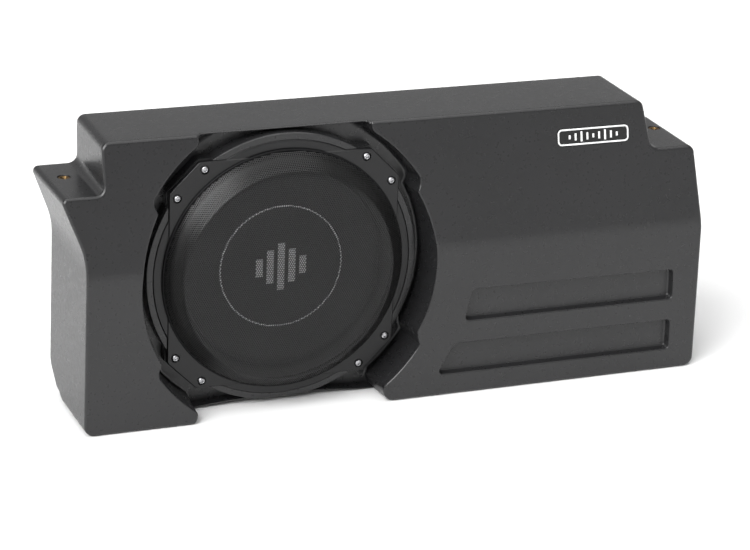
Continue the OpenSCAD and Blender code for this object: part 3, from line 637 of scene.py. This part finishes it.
FRAME_PATH = frame_path(RIM_R, EAR_HALF, EAR_REACH)
PEDESTAL_R = 136.5
PEDESTAL_PATH = frame_path(PEDESTAL_R, EAR_HALF + 1, EAR_REACH + 1)
LIP_H, LIP_RISE, LIP_EDGE = 4.1, 0.25, 1.2  # height, run of its inner wall, outer rounding
MOAT_WALL = 1.0  # run of the groove's inner wall
MOAT_R, MOAT_FADE = 150, 18  # where the groove starts to fade above the axis, and how slowly
MOAT_EDGE, MOAT_EDGE_FADE = 0.6, 4.5  # the same from the outer edge, above the axis
LOW_EDGE = 2.2  # where it starts near the outer edge below the axis


def lip_height(q):
    """Height of the rounded lip on the pedestal, which ends at its circle."""
    rise = np.clip(distance(q, FRAME_PATH) / LIP_RISE, 0, 1)
    inset = PEDESTAL_R - np.linalg.norm(q - AXIS, axis=1)
    fall = np.sqrt(np.maximum(1 - (np.clip(LIP_EDGE - inset, 0, LIP_EDGE) / LIP_EDGE) ** 2, 0))
    return LIP_H * rise * fall


def moat_share(q, outline):
    """1 where the groove is at full depth, fading out at the top corners and the outer edge."""
    r = np.linalg.norm(q - AXIS, axis=1)
    from_edge = -distance(q, outline)
    above = smoothstep((MOAT_R + MOAT_FADE - r) / MOAT_FADE)
    above *= smoothstep((from_edge - MOAT_EDGE) / MOAT_EDGE_FADE)
    return np.where(q[:, 1] > AXIS[1], above, np.clip(from_edge - LOW_EDGE, 0, 1))


def box_path(centre, size, r):
    w, h = size[0] / 2, size[1] / 2
    corners = ((-1, -1), (1, -1), (1, 1), (-1, 1))
    return [(centre[0] + sx * w, centre[1] + sz * h, r) for sx, sz in corners]


BADGE_AT, BADGE_SIZE = (208.3, 250.8), (78, 17.5)
BADGE_GAP = 0.3
LEAN_SHARE = (HEIGHT - BEND_Z) / math.hypot(HEIGHT - BEND_Z, LEAN)


def front_pockets(grow):
    """Pockets of the front face, with their paths grown outwards for the inner skin."""
    paths = [inward(divided(rounded(p), STEP), -grow) for p in PANELS]
    small = [Pocket(path, PANEL_D, 1.4, 1.0, 2.0) for path in paths]
    if not grow:
        size = (BADGE_SIZE[0] + BADGE_GAP, BADGE_SIZE[1] * LEAN_SHARE + BADGE_GAP)
        small.append(Pocket(rounded(box_path(BADGE_AT, size, 5)), 1.3, 0.3, 0.1, 0.2, 2))
    return Pocket(inward(RECESS, -grow), 0, 2.0, 2.0, 2.5), small


BELOW_ALL = 40  # deeper than the groove, so that the pedestal's wall runs to its floor


def front_height(q, outline, skin):
    """Y of the outer surface, or of the inner one when skin is the wall's thickness."""
    recess, small = front_pockets(skin)
    face = front_face(q[:, 1]) + skin
    floor = BAFFLE_BACK_Y if skin else BAFFLE_Y + (MOAT_Y - BAFFLE_Y) * moat_share(q, outline)
    y = face + recess.sink(q, floor - face)
    if not skin:
        fall = np.clip(distance(q, PEDESTAL_PATH) / MOAT_WALL, 0, 1)
        pedestal = BAFFLE_Y + BELOW_ALL * fall
        y = np.minimum(y, np.maximum(pedestal, face))
    for pocket in small:
        y = y + pocket.sink(q)
    if not skin:
        y = y + edge_drop(-distance(q, outline), EDGE_R) - lip_height(q)
    return y


def level_lines(levels):
    """Straight lines across the whole outline, one at each height."""
    reach = 340.0
    return [(np.array([(-reach, z), (reach, z)]), False) for z in levels]


def closed_lines(paths):
    return [(p, True) for p in paths]


def pocket_lines(pockets):
    return [path for pocket in pockets for path in pocket.lines()]


def skin_sheet(build, outline, holes, lines, height, move):
    """One skin of a moulding; returns its borders, the outer one first, with their flat points."""
    pts, tris = triangulate(outline, holes, lines)
    ids = build.sheet(move(np.column_stack((pts[:, 0], height(pts), pts[:, 1]))), tris)
    return [([ids[i] for i in loop], pts[loop]) for loop in border_loops(tris, pts)]


def front_move(p):
    return lifted(drafted(p))


def at_level(flat, y):
    return np.column_stack((flat[:, 0], np.full(len(flat), y), flat[:, 1]))


INNER_SLACK = 0.5  # the side walls are this much thinner than the faces


def build_front_shell():
    build = Build()
    outline = divided(rounded(OUTLINE), STEP)
    hole = circle(AXIS, CUTOUT_R, 96)
    bend = np.linspace(BEND_LOW - 0.01, BEND_HIGH, 7)

    # outer skin: a line wherever its height bends
    recess, small = front_pockets(0)
    paths = edge_rings(outline, EDGE_R) + pocket_lines([recess] + small)
    paths += [inward(FRAME_PATH, -s) for s in (0.0, LIP_RISE)]
    paths += [inward(PEDESTAL_PATH, -s) for s in (0.0, 0.3 * MOAT_WALL)]
    lip_edge = [PEDESTAL_R - LIP_EDGE * share for share in (0.01, 0.1, 0.3, 0.6, 1.0)]
    paths += [circle(AXIS, r, 120) for r in lip_edge]
    paths += [circle(AXIS, r, 96) for r in (MOAT_R, 154, 158, 162, MOAT_R + MOAT_FADE)]
    edge_fade = (MOAT_EDGE, LOW_EDGE, LOW_EDGE + 1, 4.1, MOAT_EDGE + MOAT_EDGE_FADE)
    paths += [inward(outline, d) for d in edge_fade]
    borders = skin_sheet(build, outline, [hole], closed_lines(paths) + level_lines(bend),
                         lambda q: front_height(q, outline, 0), front_move)
    loop, flat = borders[0]
    levels = (-12, 4, TOE_LOW, 19.7, TOE_HIGH, SEAM_Y)
    rim = build.loft(loop, [front_move(at_level(flat, y)) for y in levels])

    # inner skin
    inner = inward(outline, WALL - INNER_SLACK)
    recess, small = front_pockets(WALL)
    lines = closed_lines(pocket_lines([recess] + small)) + level_lines(bend[::3])
    inside_borders = skin_sheet(build, inner, [hole], lines,
                                lambda q: front_height(q, inner, WALL), front_move)
    loop, flat = inside_borders[0]
    levels = (0, TOE_LOW, TOE_HIGH, SEAM_Y)
    inner_rim = build.loft(loop, [front_move(at_level(flat, y)) for y in levels])
    build.stitch(rim, inner_rim)
    build.stitch(borders[1][0], inside_borders[1][0])
    return build.piece("front_shell_moulding", FINISH["shell_plastic"], weighted=False)


# the outline carried on below the ground, where the back's edge is not rounded
EXTENDED = [(-314, -60, 1), (HALF_W, -60, 1)] + OUTLINE[7:]
COVER_SEAT = 36.0
BORE_R = 4.6
AMP_POCKET_D = 10.0
SEAT_SLACK = 0.3  # the inner skin's bores are this much wider and deeper per millimetre
BORE_REACH = 12
LEAST_BORE = 1.2


def rear_pockets(grow):
    """Pockets of the back: the amplifier's, and the bores of the cover screws."""
    path = inward(divided(rounded(box_path(AMP_CENTRE, AMP_POCKET, 2)), STEP), -grow)
    r = BORE_R + SEAT_SLACK * grow
    bores = [Pocket(circle(p, r, 20), 0, 0.5, 0.15, 0.5, 2) for p in COVER_SCREWS]
    return Pocket(path, AMP_POCKET_D, 1.0, 0.4, 1.0, 2), bores


def rear_height(q, skin):
    """Y of the outer surface, or of the inner one when skin is the wall's thickness."""
    amp, bores = rear_pockets(skin)
    face = back_face(q[:, 1]) - skin
    far = distance(q, rounded(EXTENDED))
    y = face - amp.sink(q) - (0 if skin else edge_drop(-far, EDGE_R))
    for bore in bores:
        seat = COVER_SEAT - SEAT_SLACK * skin
        near = np.abs(q - bore.path.mean(axis=0)).max(axis=1) < BORE_REACH
        if near.any():
            y[near] -= bore.sink(q[near], np.maximum(face[near] - seat, LEAST_BORE))
    return np.maximum(y, SEAM_Y)


def build_rear_cover():
    build = Build()
    flat = divided(rounded(OUTLINE), STEP)
    flat = lifted(at_level(flat, SEAM_Y))[:, [0, 2]]
    window = divided(rounded(box_path(AMP_CENTRE, AMP_WINDOW, 3)), STEP)
    ends, holes = [], []
    for skin in (0, WALL):
        outline = inward(flat, skin - INNER_SLACK) if skin else flat
        amp, bores = rear_pockets(skin)
        paths = pocket_lines([amp] + bores)
        if not skin:
            paths += edge_rings(outline, EDGE_R)
        lines = closed_lines(paths) + level_lines((HEEL_LOW, 30, 32.5, 35, HEEL_HIGH))
        borders = skin_sheet(build, outline, [window], lines,
                             lambda q: rear_height(q, skin), drafted)
        loop, edge = borders[0]
        top = np.array([build.points[i][1] for i in loop])
        rings = []
        for share in (0.6, 0.25, 0):
            ring = at_level(edge, 0)
            ring[:, 1] = SEAM_Y + (top - SEAM_Y) * share
            rings.append(drafted(ring))
        ends.append(build.loft(loop, rings))
        holes.append(borders[1][0])
    build.stitch(*ends)
    build.stitch(*holes)
    return build.piece("rear_cover_moulding", FINISH["shell_plastic"])


def carved(piece, cutter):
    """Takes the cutter's volume out of the piece for good."""
    mod = piece.modifiers.new("cut", "BOOLEAN")
    mod.operation = "DIFFERENCE"
    mod.solver = "EXACT"
    mod.object = cutter
    graph = bpy.context.evaluated_depsgraph_get()
    mesh = bpy.data.meshes.new_from_object(piece.evaluated_get(graph))
    piece.modifiers.clear()
    old = piece.data
    piece.data = mesh
    bpy.data.meshes.remove(old)
    bpy.data.objects.remove(cutter)
    shaded(mesh, CREASE)
    weigh_normals(piece)
    return piece


def insert_cutter():
    """The holes for the ledge inserts, each with a small countersink."""
    build = Build()
    bottom, top, wide = LEDGE_Z - INSERT_LEN, LEDGE_Z + 8, INSERT_R + 0.6
    for p in INSERT_AT:
        upright(build, p, [(0, bottom), (INSERT_R, bottom), (INSERT_R, LEDGE_Z - 0.5),
                           (wide, LEDGE_Z + 0.1), (wide, top), (0, top)])
    return build.piece("cutter", FINISH["shell_plastic"], None, False)


front_shell = carved(build_front_shell(), insert_cutter())
placed(front_shell, "root", "shell_plastic", "front_shell")
placed(build_rear_cover(), "root", "shell_plastic", "rear_cover")


# ---- ledge inserts: turned brass with a threaded bore ----
INSERT_SUNK = 0.7
THREAD_IN, THREAD_OUT, THREAD_PITCH, THREAD_RISE = 3.0, 3.4, 1.25, 0.6
BODY_R, GROOVE_R = 5.9, 5.5


def build_inserts():
    build = Build()
    for p in INSERT_AT:
        top = LEDGE_Z - INSERT_SUNK
        profile = [(0, top - 16), (THREAD_IN, top - 16)]
        z = top - 15
        while z < top - 1.6:
            profile += [(THREAD_IN, z), (THREAD_OUT, z + THREAD_RISE)]
            z += THREAD_PITCH
        profile += [(THREAD_IN, top - 1.2), (3.7, top - 0.4), (3.9, top), (5.2, top),
                    (GROOVE_R, top - 0.3), (BODY_R, top - 1), (BODY_R, top - 2),
                    (GROOVE_R, top - 2.4), (GROOVE_R, top - 3.4), (BODY_R, top - 3.8),
                    (BODY_R, top - 16.9), (GROOVE_R, top - 17.2), (0, top - 17.2)]
        upright(build, p, profile)
    return build.piece("ledge_insert_pair", FINISH["brass"])


placed(build_inserts(), "root", "brass", "ledge_inserts")


# ---- the driver's frame ----
FLANGE_R = CUTOUT_R - 3.5
HOLE_R, HOLE_DEPTH, HOLE_WALL = 4.3, 2.0, 0.2
PLATE_EDGE = 0.9
FRAME_EDGE = 1.3


def flange_height(q):
    """Front of the frame: a round rim, a raised square plate, and screw counterbores."""
    far = np.abs(q - AXIS).max(axis=1) - EAR_HALF
    plate = (EAR_Y - RIM_Y) * np.clip(-far / PLATE_EDGE, 0, 1)
    y = RIM_Y + plate + edge_drop(-distance(q, FRAME_PATH), FRAME_EDGE)
    for t in SCREW_ANGLES:
        centre = ring_point(SCREW_CIRCLE_R, t)
        r = np.linalg.norm(q - centre, axis=1)
        depth = HOLE_DEPTH * np.clip((HOLE_R + HOLE_WALL - r) / HOLE_WALL, 0, 1)
        y = np.where(r < HOLE_R + 0.25, np.maximum(y, EAR_Y + depth), y)
    return y


def build_flange():
    build = Build()
    hole = circle(AXIS, FLANGE_R, 96)
    square = np.array(box_path(AXIS, (2 * EAR_HALF, 2 * EAR_HALF), 0))[:, :2]
    paths = edge_rings(FRAME_PATH, FRAME_EDGE, 4)
    paths += [divided(path, STEP) for path in (square, inward(square, PLATE_EDGE))]
    for t in SCREW_ANGLES:
        centre = ring_point(SCREW_CIRCLE_R, t)
        paths += [circle(centre, r, 24) for r in (HOLE_R, HOLE_R + HOLE_WALL)]
    back_y = BAFFLE_Y - 1.5
    pts, tris = triangulate(FRAME_PATH, [hole], closed_lines(paths))
    sides = []
    for heights in (flange_height(pts), np.full(len(pts), back_y)):
        ids = build.sheet(np.column_stack((pts[:, 0], heights, pts[:, 1])), tris)
        sides.append([[ids[i] for i in loop] for loop in border_loops(tris, pts)])
    for front, back in zip(*sides):
        for i in range(len(front)):
            j = (i + 1) % len(front)
            build.faces.append((front[i], front[j], back[j], back[i]))
    return build.piece("driver_frame_plate", FINISH["frame_black"])


placed(build_flange(), "root", "frame_black", "driver_flange")


def build_hem():
    """Rolled ring that holds the edge of the mesh."""
    front, foot = EAR_Y - 2.2, -28.2
    profile = [(113.8, foot), (113.8, EAR_Y - 1), (115, EAR_Y - 1.5), (118.6, front + 0.6),
               (119.6, front + 0.1), (120.2, front), (120.7, front + 0.1), (121.1, front + 0.5),
               (121.3, front + 1.1), (121.3, EAR_Y + 0.05), (115.4, EAR_Y + 0.05), (115.4, foot)]
    return lathe(profile, 192).piece("grille_hem", FINISH["ring_plastic"])


placed(build_hem(), "root", "ring_plastic", "grille_ring")


# ---- the perforated grille ----
PITCH = 2.2
APOTHEM = 0.86  # half the width of a hole across its flats
SHEET_T = 0.8
FLAT_REACH = 140  # half the width of the flat sheet that the holes are laid out on
MESH_SPLITS = (0, 75, 104, 127.2)
MESH_PROFILE = np.array([(0, -53.9), (100.0, -53.9), (102.2, -53.75), (104.0, -53.2),
                         (105.4, -52.2), (106.6, -50.8), (107.6, -49.5), (120.2, -34.9)])


def mesh_place(flat, depth):
    """Bends points of the flat perforated sheet to the stamped dome; depth is below its front."""
    run = np.linalg.norm(flat, axis=1)
    step = np.linalg.norm(np.diff(MESH_PROFILE, axis=0), axis=1)
    length = np.concatenate(([0], np.cumsum(step)))
    slope = np.diff(MESH_PROFILE, axis=0) / step[:, None]
    at = np.concatenate(([slope[0]], (slope[1:] + slope[:-1]) / 2, [slope[-1]]))
    run_in = np.minimum(run, length[-1])
    r = np.interp(run_in, length, MESH_PROFILE[:, 0])
    y = np.interp(run_in, length, MESH_PROFILE[:, 1])
    dr = np.interp(run_in, length, at[:, 0])
    dy = np.interp(run_in, length, at[:, 1])
    size = np.hypot(dr, dy)
    r_out = r - depth * dy / size
    y_out = y + depth * dr / size
    share = r_out / np.maximum(run, 1e-6)
    return np.column_stack((AXIS[0] + flat[:, 0] * share, y_out, AXIS[1] + flat[:, 1] * share))


def build_mesh_part(name, low, high):
    """The part of the sheet whose holes lie between two distances from the axis."""
    wide, tall = int(1.7 * FLAT_REACH / PITCH), int(1.25 * FLAT_REACH / PITCH)
    i, j = np.meshgrid(np.arange(-wide, wide + 1), np.arange(-tall, tall + 1), indexing="ij")
    centre = np.stack((PITCH * (i + j / 2), PITCH * math.sqrt(3) / 2 * j), axis=-1)
    away = np.linalg.norm(centre, axis=-1)
    chosen = (away >= low) & (away < high)
    turns = np.radians(30 + 60 * np.arange(6))
    corner = APOTHEM / math.cos(math.pi / 6) * np.column_stack((np.cos(turns), np.sin(turns)))
    flat = centre[:, :, None, :] + corner
    size = flat.shape[:3]
    number = np.arange(size[0] * size[1] * 6).reshape(size)
    ii, jj = np.nonzero(chosen)
    own = number[ii, jj]
    east, north, west = number[ii + 1, jj], number[ii, jj + 1], number[ii - 1, jj + 1]
    strips = [np.column_stack((own[:, 5], east[:, 3], east[:, 2], own[:, 0])),
              np.column_stack((own[:, 0], north[:, 4], north[:, 3], own[:, 1])),
              np.column_stack((own[:, 1], west[:, 5], west[:, 4], own[:, 2]))]
    knots = [np.column_stack((own[:, 0], east[:, 2], north[:, 4])),
             np.column_stack((own[:, 1], north[:, 3], west[:, 5]))]
    walls = [(own[:, k], own[:, (k + 1) % 6]) for k in range(6)]
    quads, threes = np.concatenate(strips), np.concatenate(knots)
    used = np.unique(np.concatenate((quads.ravel(), threes.ravel(), own.ravel())))
    place = np.full(number.size, -1)
    place[used] = np.arange(len(used))
    flat = flat.reshape(-1, 2)[used]
    n = len(used)
    points = np.concatenate((mesh_place(flat, 0.0), mesh_place(flat, SHEET_T))) * MM
    quads, threes = place[quads], place[threes]
    side = np.concatenate([np.column_stack((place[a], place[b], place[b] + n, place[a] + n))
                           for a, b in walls])
    faces = quads.tolist() + (quads[:, ::-1] + n).tolist() + threes.tolist()
    faces += (threes[:, ::-1] + n).tolist() + side[:, ::-1].tolist()
    mesh = bpy.data.meshes.new(name)
    mesh.from_pydata(points.tolist(), [], faces)
    mesh.update()
    return dressed(name, mesh, FINISH["mesh_black"], 50, False)


for index, (low, high) in enumerate(zip(MESH_SPLITS, MESH_SPLITS[1:])):
    part = build_mesh_part(f"grille_mesh_ring_{index + 1}", low, high)
    placed(part, "root", "mesh_black", "grille_mesh")


# ---- driver screws: domed heads with a hexagon socket ----
SHANK_R, HEAD_R = 1.95, 3.5


def build_driver_screws():
    build = Build()
    steps = 36
    turns = 2 * math.pi * np.arange(steps) / steps
    for number, t in enumerate(SCREW_ANGLES):
        centre = ring_point(SCREW_CIRCLE_R, t)
        spin = 0.7 * number
        hexagon = 1 / np.cos((turns + spin) % (math.pi / 3) - math.pi / 6)

        def ring(r, y, flats=0.0):
            reach = r * (1 + flats * (hexagon - 1))
            return np.column_stack((centre[0] + reach * np.cos(turns), np.full(steps, y),
                                    centre[1] + reach * np.sin(turns)))

        seat, top = EAR_Y + 1.9, EAR_Y - 1.2
        build.bar([
            ring(SHANK_R, -3), ring(SHANK_R, seat), ring(3.3, seat), ring(HEAD_R, seat - 0.25),
            ring(HEAD_R, seat - 1.0), ring(3.38, seat - 1.7), ring(3.05, seat - 2.3),
            ring(2.6, top + 0.25), ring(2.2, top + 0.05), ring(1.75, top, 0.5),
            ring(1.62, top + 0.12, 1), ring(1.55, top + 0.3, 1), ring(1.5, top + 1.9, 1),
            ring(0.5, top + 2.3),
        ])
    return build.piece("driver_screw_set", FINISH["screw_bright"], 40)


placed(build_driver_screws(), "root", "screw_bright", "driver_screws")


# ---- soft parts of the driver: surround, spider and leads ----
def radial_blend(piece):
    """Bakes the piece's placement into its mesh."""
    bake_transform(piece)


def build_surround():
    """Half roll of rubber with a flat hem on each side and fine ribs round the roll."""
    seat = RIM_Y + 3
    mid, big_r, thick = 106.5, 7.0, 1.2
    turns = [math.radians(k) for k in range(0, 181, 15)]
    front = []
    for k, t in enumerate(turns):
        rib = 0.0 if k % 2 else 0.12
        front.append((mid + big_r * math.cos(t), seat - (big_r + rib) * math.sin(t) + 0.15))
    back = [(mid + (big_r - thick) * math.cos(t), seat + 0.4 - (big_r - thick) * math.sin(t))
            for t in reversed(turns)]
    profile = [(115.1, seat + 0.1)] + front + [(98.1, seat + 0.15), (98.1, seat + thick)]
    profile += back + [(115.1, seat + thick)]
    return lathe(profile, 144).piece("surround_roll", FINISH["surround_rubber"], 60, False)


def build_spider():
    """A cloth disc pressed into rings of waves, with a flat hem on the outside."""
    waves = [(38.7 + k * 0.62, 2.5 + 1.5 * math.sin(math.radians(k * 45))) for k in range(61)]
    hem = [(78.4, 4.2), (78.4, 4.9), (76.0, 4.9)]
    profile = waves + hem + [(r, y + 0.6) for r, y in reversed(waves)]
    return lathe(profile, 96).piece("spider_rings", FINISH["spider_cloth"], 60, False)


def build_leads():
    """Two braided leads, a twisted three-lobed strand each, from the basket to the cone's neck."""
    build = Build()
    steps, sides = 30, 12
    for dz in (-6, 6):
        rings = []
        for k in range(steps + 1):
            t = k / steps
            bow = -0.5 - 6 * t - 4 * math.sin(math.pi * t)
            spot = np.array((AXIS[0] + 84 - 41 * t, bow, AXIS[1] + dz))
            along = unit(np.array((-41, -6 - 4 * math.pi * math.cos(math.pi * t), 0.0)))
            side = np.array((0.0, 0.0, 1.0))
            up = np.cross(side, along)
            ring = []
            for s in range(sides):
                a = 2 * math.pi * s / sides
                r = 0.8 + 0.1 * math.cos(3 * a + 26 * t)
                ring.append(spot + r * (math.cos(a) * side + math.sin(a) * up))
            rings.append(ring)
        build.bar(rings)
    return build.piece("tinsel_lead_pair", FINISH["copper"], 60, False)


for piece, still_r, moving_r, slot, node in (
    (build_surround(), 112.5, 100.5, "surround_rubber", "surround"),
    (build_spider(), 75.5, 41.0, "spider_cloth", "spider"),
    (build_leads(), 82.0, 44.0, "copper", "tinsel_leads"),
):
    radial_blend(piece)
    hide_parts(node)


# ---- CAD nodes that are shown as they are, with softened edges ----
def soften(node, width):
    """Rounds the sharp edges of a CAD node, width in millimetres."""
    obj = frame["nodes"][node]
    weld = obj.modifiers.new("weld", "WELD")
    weld.merge_threshold = 0.01 * MM
    bevel = obj.modifiers.new("edges", "BEVEL")
    bevel.width = width * MM
    bevel.segments = 2
    bevel.limit_method = "ANGLE"
    bevel.angle_limit = math.radians(40)
    weigh_normals(obj)


for row in frame["record"]["subparts"]:
    for holder in frame["nodes"][row["node"]].material_slots:
        holder.material = FINISH[row["material_slot"]]
for width, nodes in (
    (0.3, ("amp_plate", "power_terminals", "fuse_holder", "rca_jacks", "remote_jack")),
    (0.2, ("cover_screws", "amp_screws", "terminal_screws", "driver_terminals", "damping_pad")),
    (0.12, ("gain_knob", "filter_knob", "boost_knob", "phase_slider", "phase_switch", "fuses",
            "badge_plate", "status_led")),
):
    for node in nodes:
        soften(node, width)


# ---- floor, light and camera ----
FLOOR_HALF, FLOOR_Z = 9000, -0.2
SKY_BASE = 0.15
SKY_LOW = (-0.4, 0.05, 0.56)  # brightness added low down: start and end cosine, amount
# brightness added round a direction: (direction, start and end cosine, amount)
SKY_GLOWS = [
    ((0.25, 0.9, 0.3), 0.75, 0.98, 0.24), ((1, -0.6, 0.1), 0.5, 0.95, 0.35),
    ((-0.64, -0.44, 0.62), 0.89, 0.97, 9.0),
]
CAMERA_AT = (-0.86547, -2.15825, 1.01147)
CAMERA_AIM = (0.34673, 0.86557, -0.36135)
CAMERA_RIGHT = (0.93317, -0.35724, 0.03969)
CAMERA_LENS = 121.28


def build_floor():
    build = Build()
    corners = ((-1, -1), (1, -1), (1, 1), (-1, 1))
    square = [(x * FLOOR_HALF, y * FLOOR_HALF, FLOOR_Z) for x, y in corners]
    build.faces.append(tuple(build.add(square)))
    mat = bpy.data.materials.new("pale_floor")
    mat.use_nodes = True
    shader = mat.node_tree.nodes["Principled BSDF"]
    shader.inputs["Base Color"].default_value = (0.86, 0.86, 0.86, 1)
    shader.inputs["Roughness"].default_value = 0.9
    shader.inputs["Specular IOR Level"].default_value = 0.1
    floor = build.piece("floor", mat, None, False)


def area_light(name, spot, aim, size, power):
    data = bpy.data.lights.new(name, "AREA")
    data.shape = "RECTANGLE"
    data.size, data.size_y = size
    data.energy = power
    light = bpy.data.objects.new(name, data)
    bpy.context.scene.collection.objects.link(light)
    light.location = spot
    light.rotation_mode = "QUATERNION"
    light.rotation_quaternion = (Vector(aim) - Vector(spot)).to_track_quat("-Z", "Y")


def build_world():
    """Soft studio surroundings: bright low down, dim overhead, with three soft glows."""
    world = bpy.data.worlds.new("studio")
    bpy.context.scene.world = world
    world.use_nodes = True
    tree = world.node_tree
    sky = tree.nodes["Background"]
    way = tree.nodes.new("ShaderNodeTexCoord").outputs["Generated"]

    def math_node(kind, a, b):
        node = tree.nodes.new("ShaderNodeMath")
        node.operation = kind
        for socket, value in zip(node.inputs, (a, b)):
            if isinstance(value, float):
                socket.default_value = value
            else:
                tree.links.new(value, socket)
        return node.outputs[0]

    def glow(direction, start, end, amount):
        """Adds amount where the view runs within the cosines start to end of a direction."""
        dot = tree.nodes.new("ShaderNodeVectorMath")
        dot.operation = "DOT_PRODUCT"
        tree.links.new(way, dot.inputs[0])
        dot.inputs[1].default_value = Vector(direction).normalized()
        ramp = tree.nodes.new("ShaderNodeMapRange")
        ramp.interpolation_type = "SMOOTHSTEP"
        ramp.inputs["From Min"].default_value = start
        ramp.inputs["From Max"].default_value = end
        ramp.inputs["To Max"].default_value = amount
        tree.links.new(dot.outputs["Value"], ramp.inputs["Value"])
        return ramp.outputs["Result"]

    total = glow((0, 0, -1), *SKY_LOW)
    for row in SKY_GLOWS:
        total = math_node("ADD", total, glow(*row))
    total = math_node("ADD", total, SKY_BASE)
    tree.links.new(math_node("MAXIMUM", total, 0.0), sky.inputs["Strength"])
    sky.inputs["Color"].default_value = (1, 1, 1, 1)


def build_camera():
    data = bpy.data.cameras.new("camera")
    data.lens = CAMERA_LENS
    data.sensor_width = 36
    camera = bpy.data.objects.new("camera", data)
    bpy.context.scene.collection.objects.link(camera)
    right = Vector(CAMERA_RIGHT).normalized()
    back = -Vector(CAMERA_AIM).normalized()
    up = back.cross(right).normalized()
    right = up.cross(back)
    turn = Matrix((right, up, back)).transposed().to_4x4()
    camera.matrix_world = Matrix.Translation(CAMERA_AT) @ turn
    data.clip_start, data.clip_end = 0.1, 60
    bpy.context.scene.camera = camera


build_floor()
build_world()
area_light("top_softbox", (0, 0, 3), (0, 0, 0), (4, 4), 95)
build_camera()
scene = bpy.context.scene
scene.view_settings.view_transform = "Standard"
scene.view_settings.look = "None"
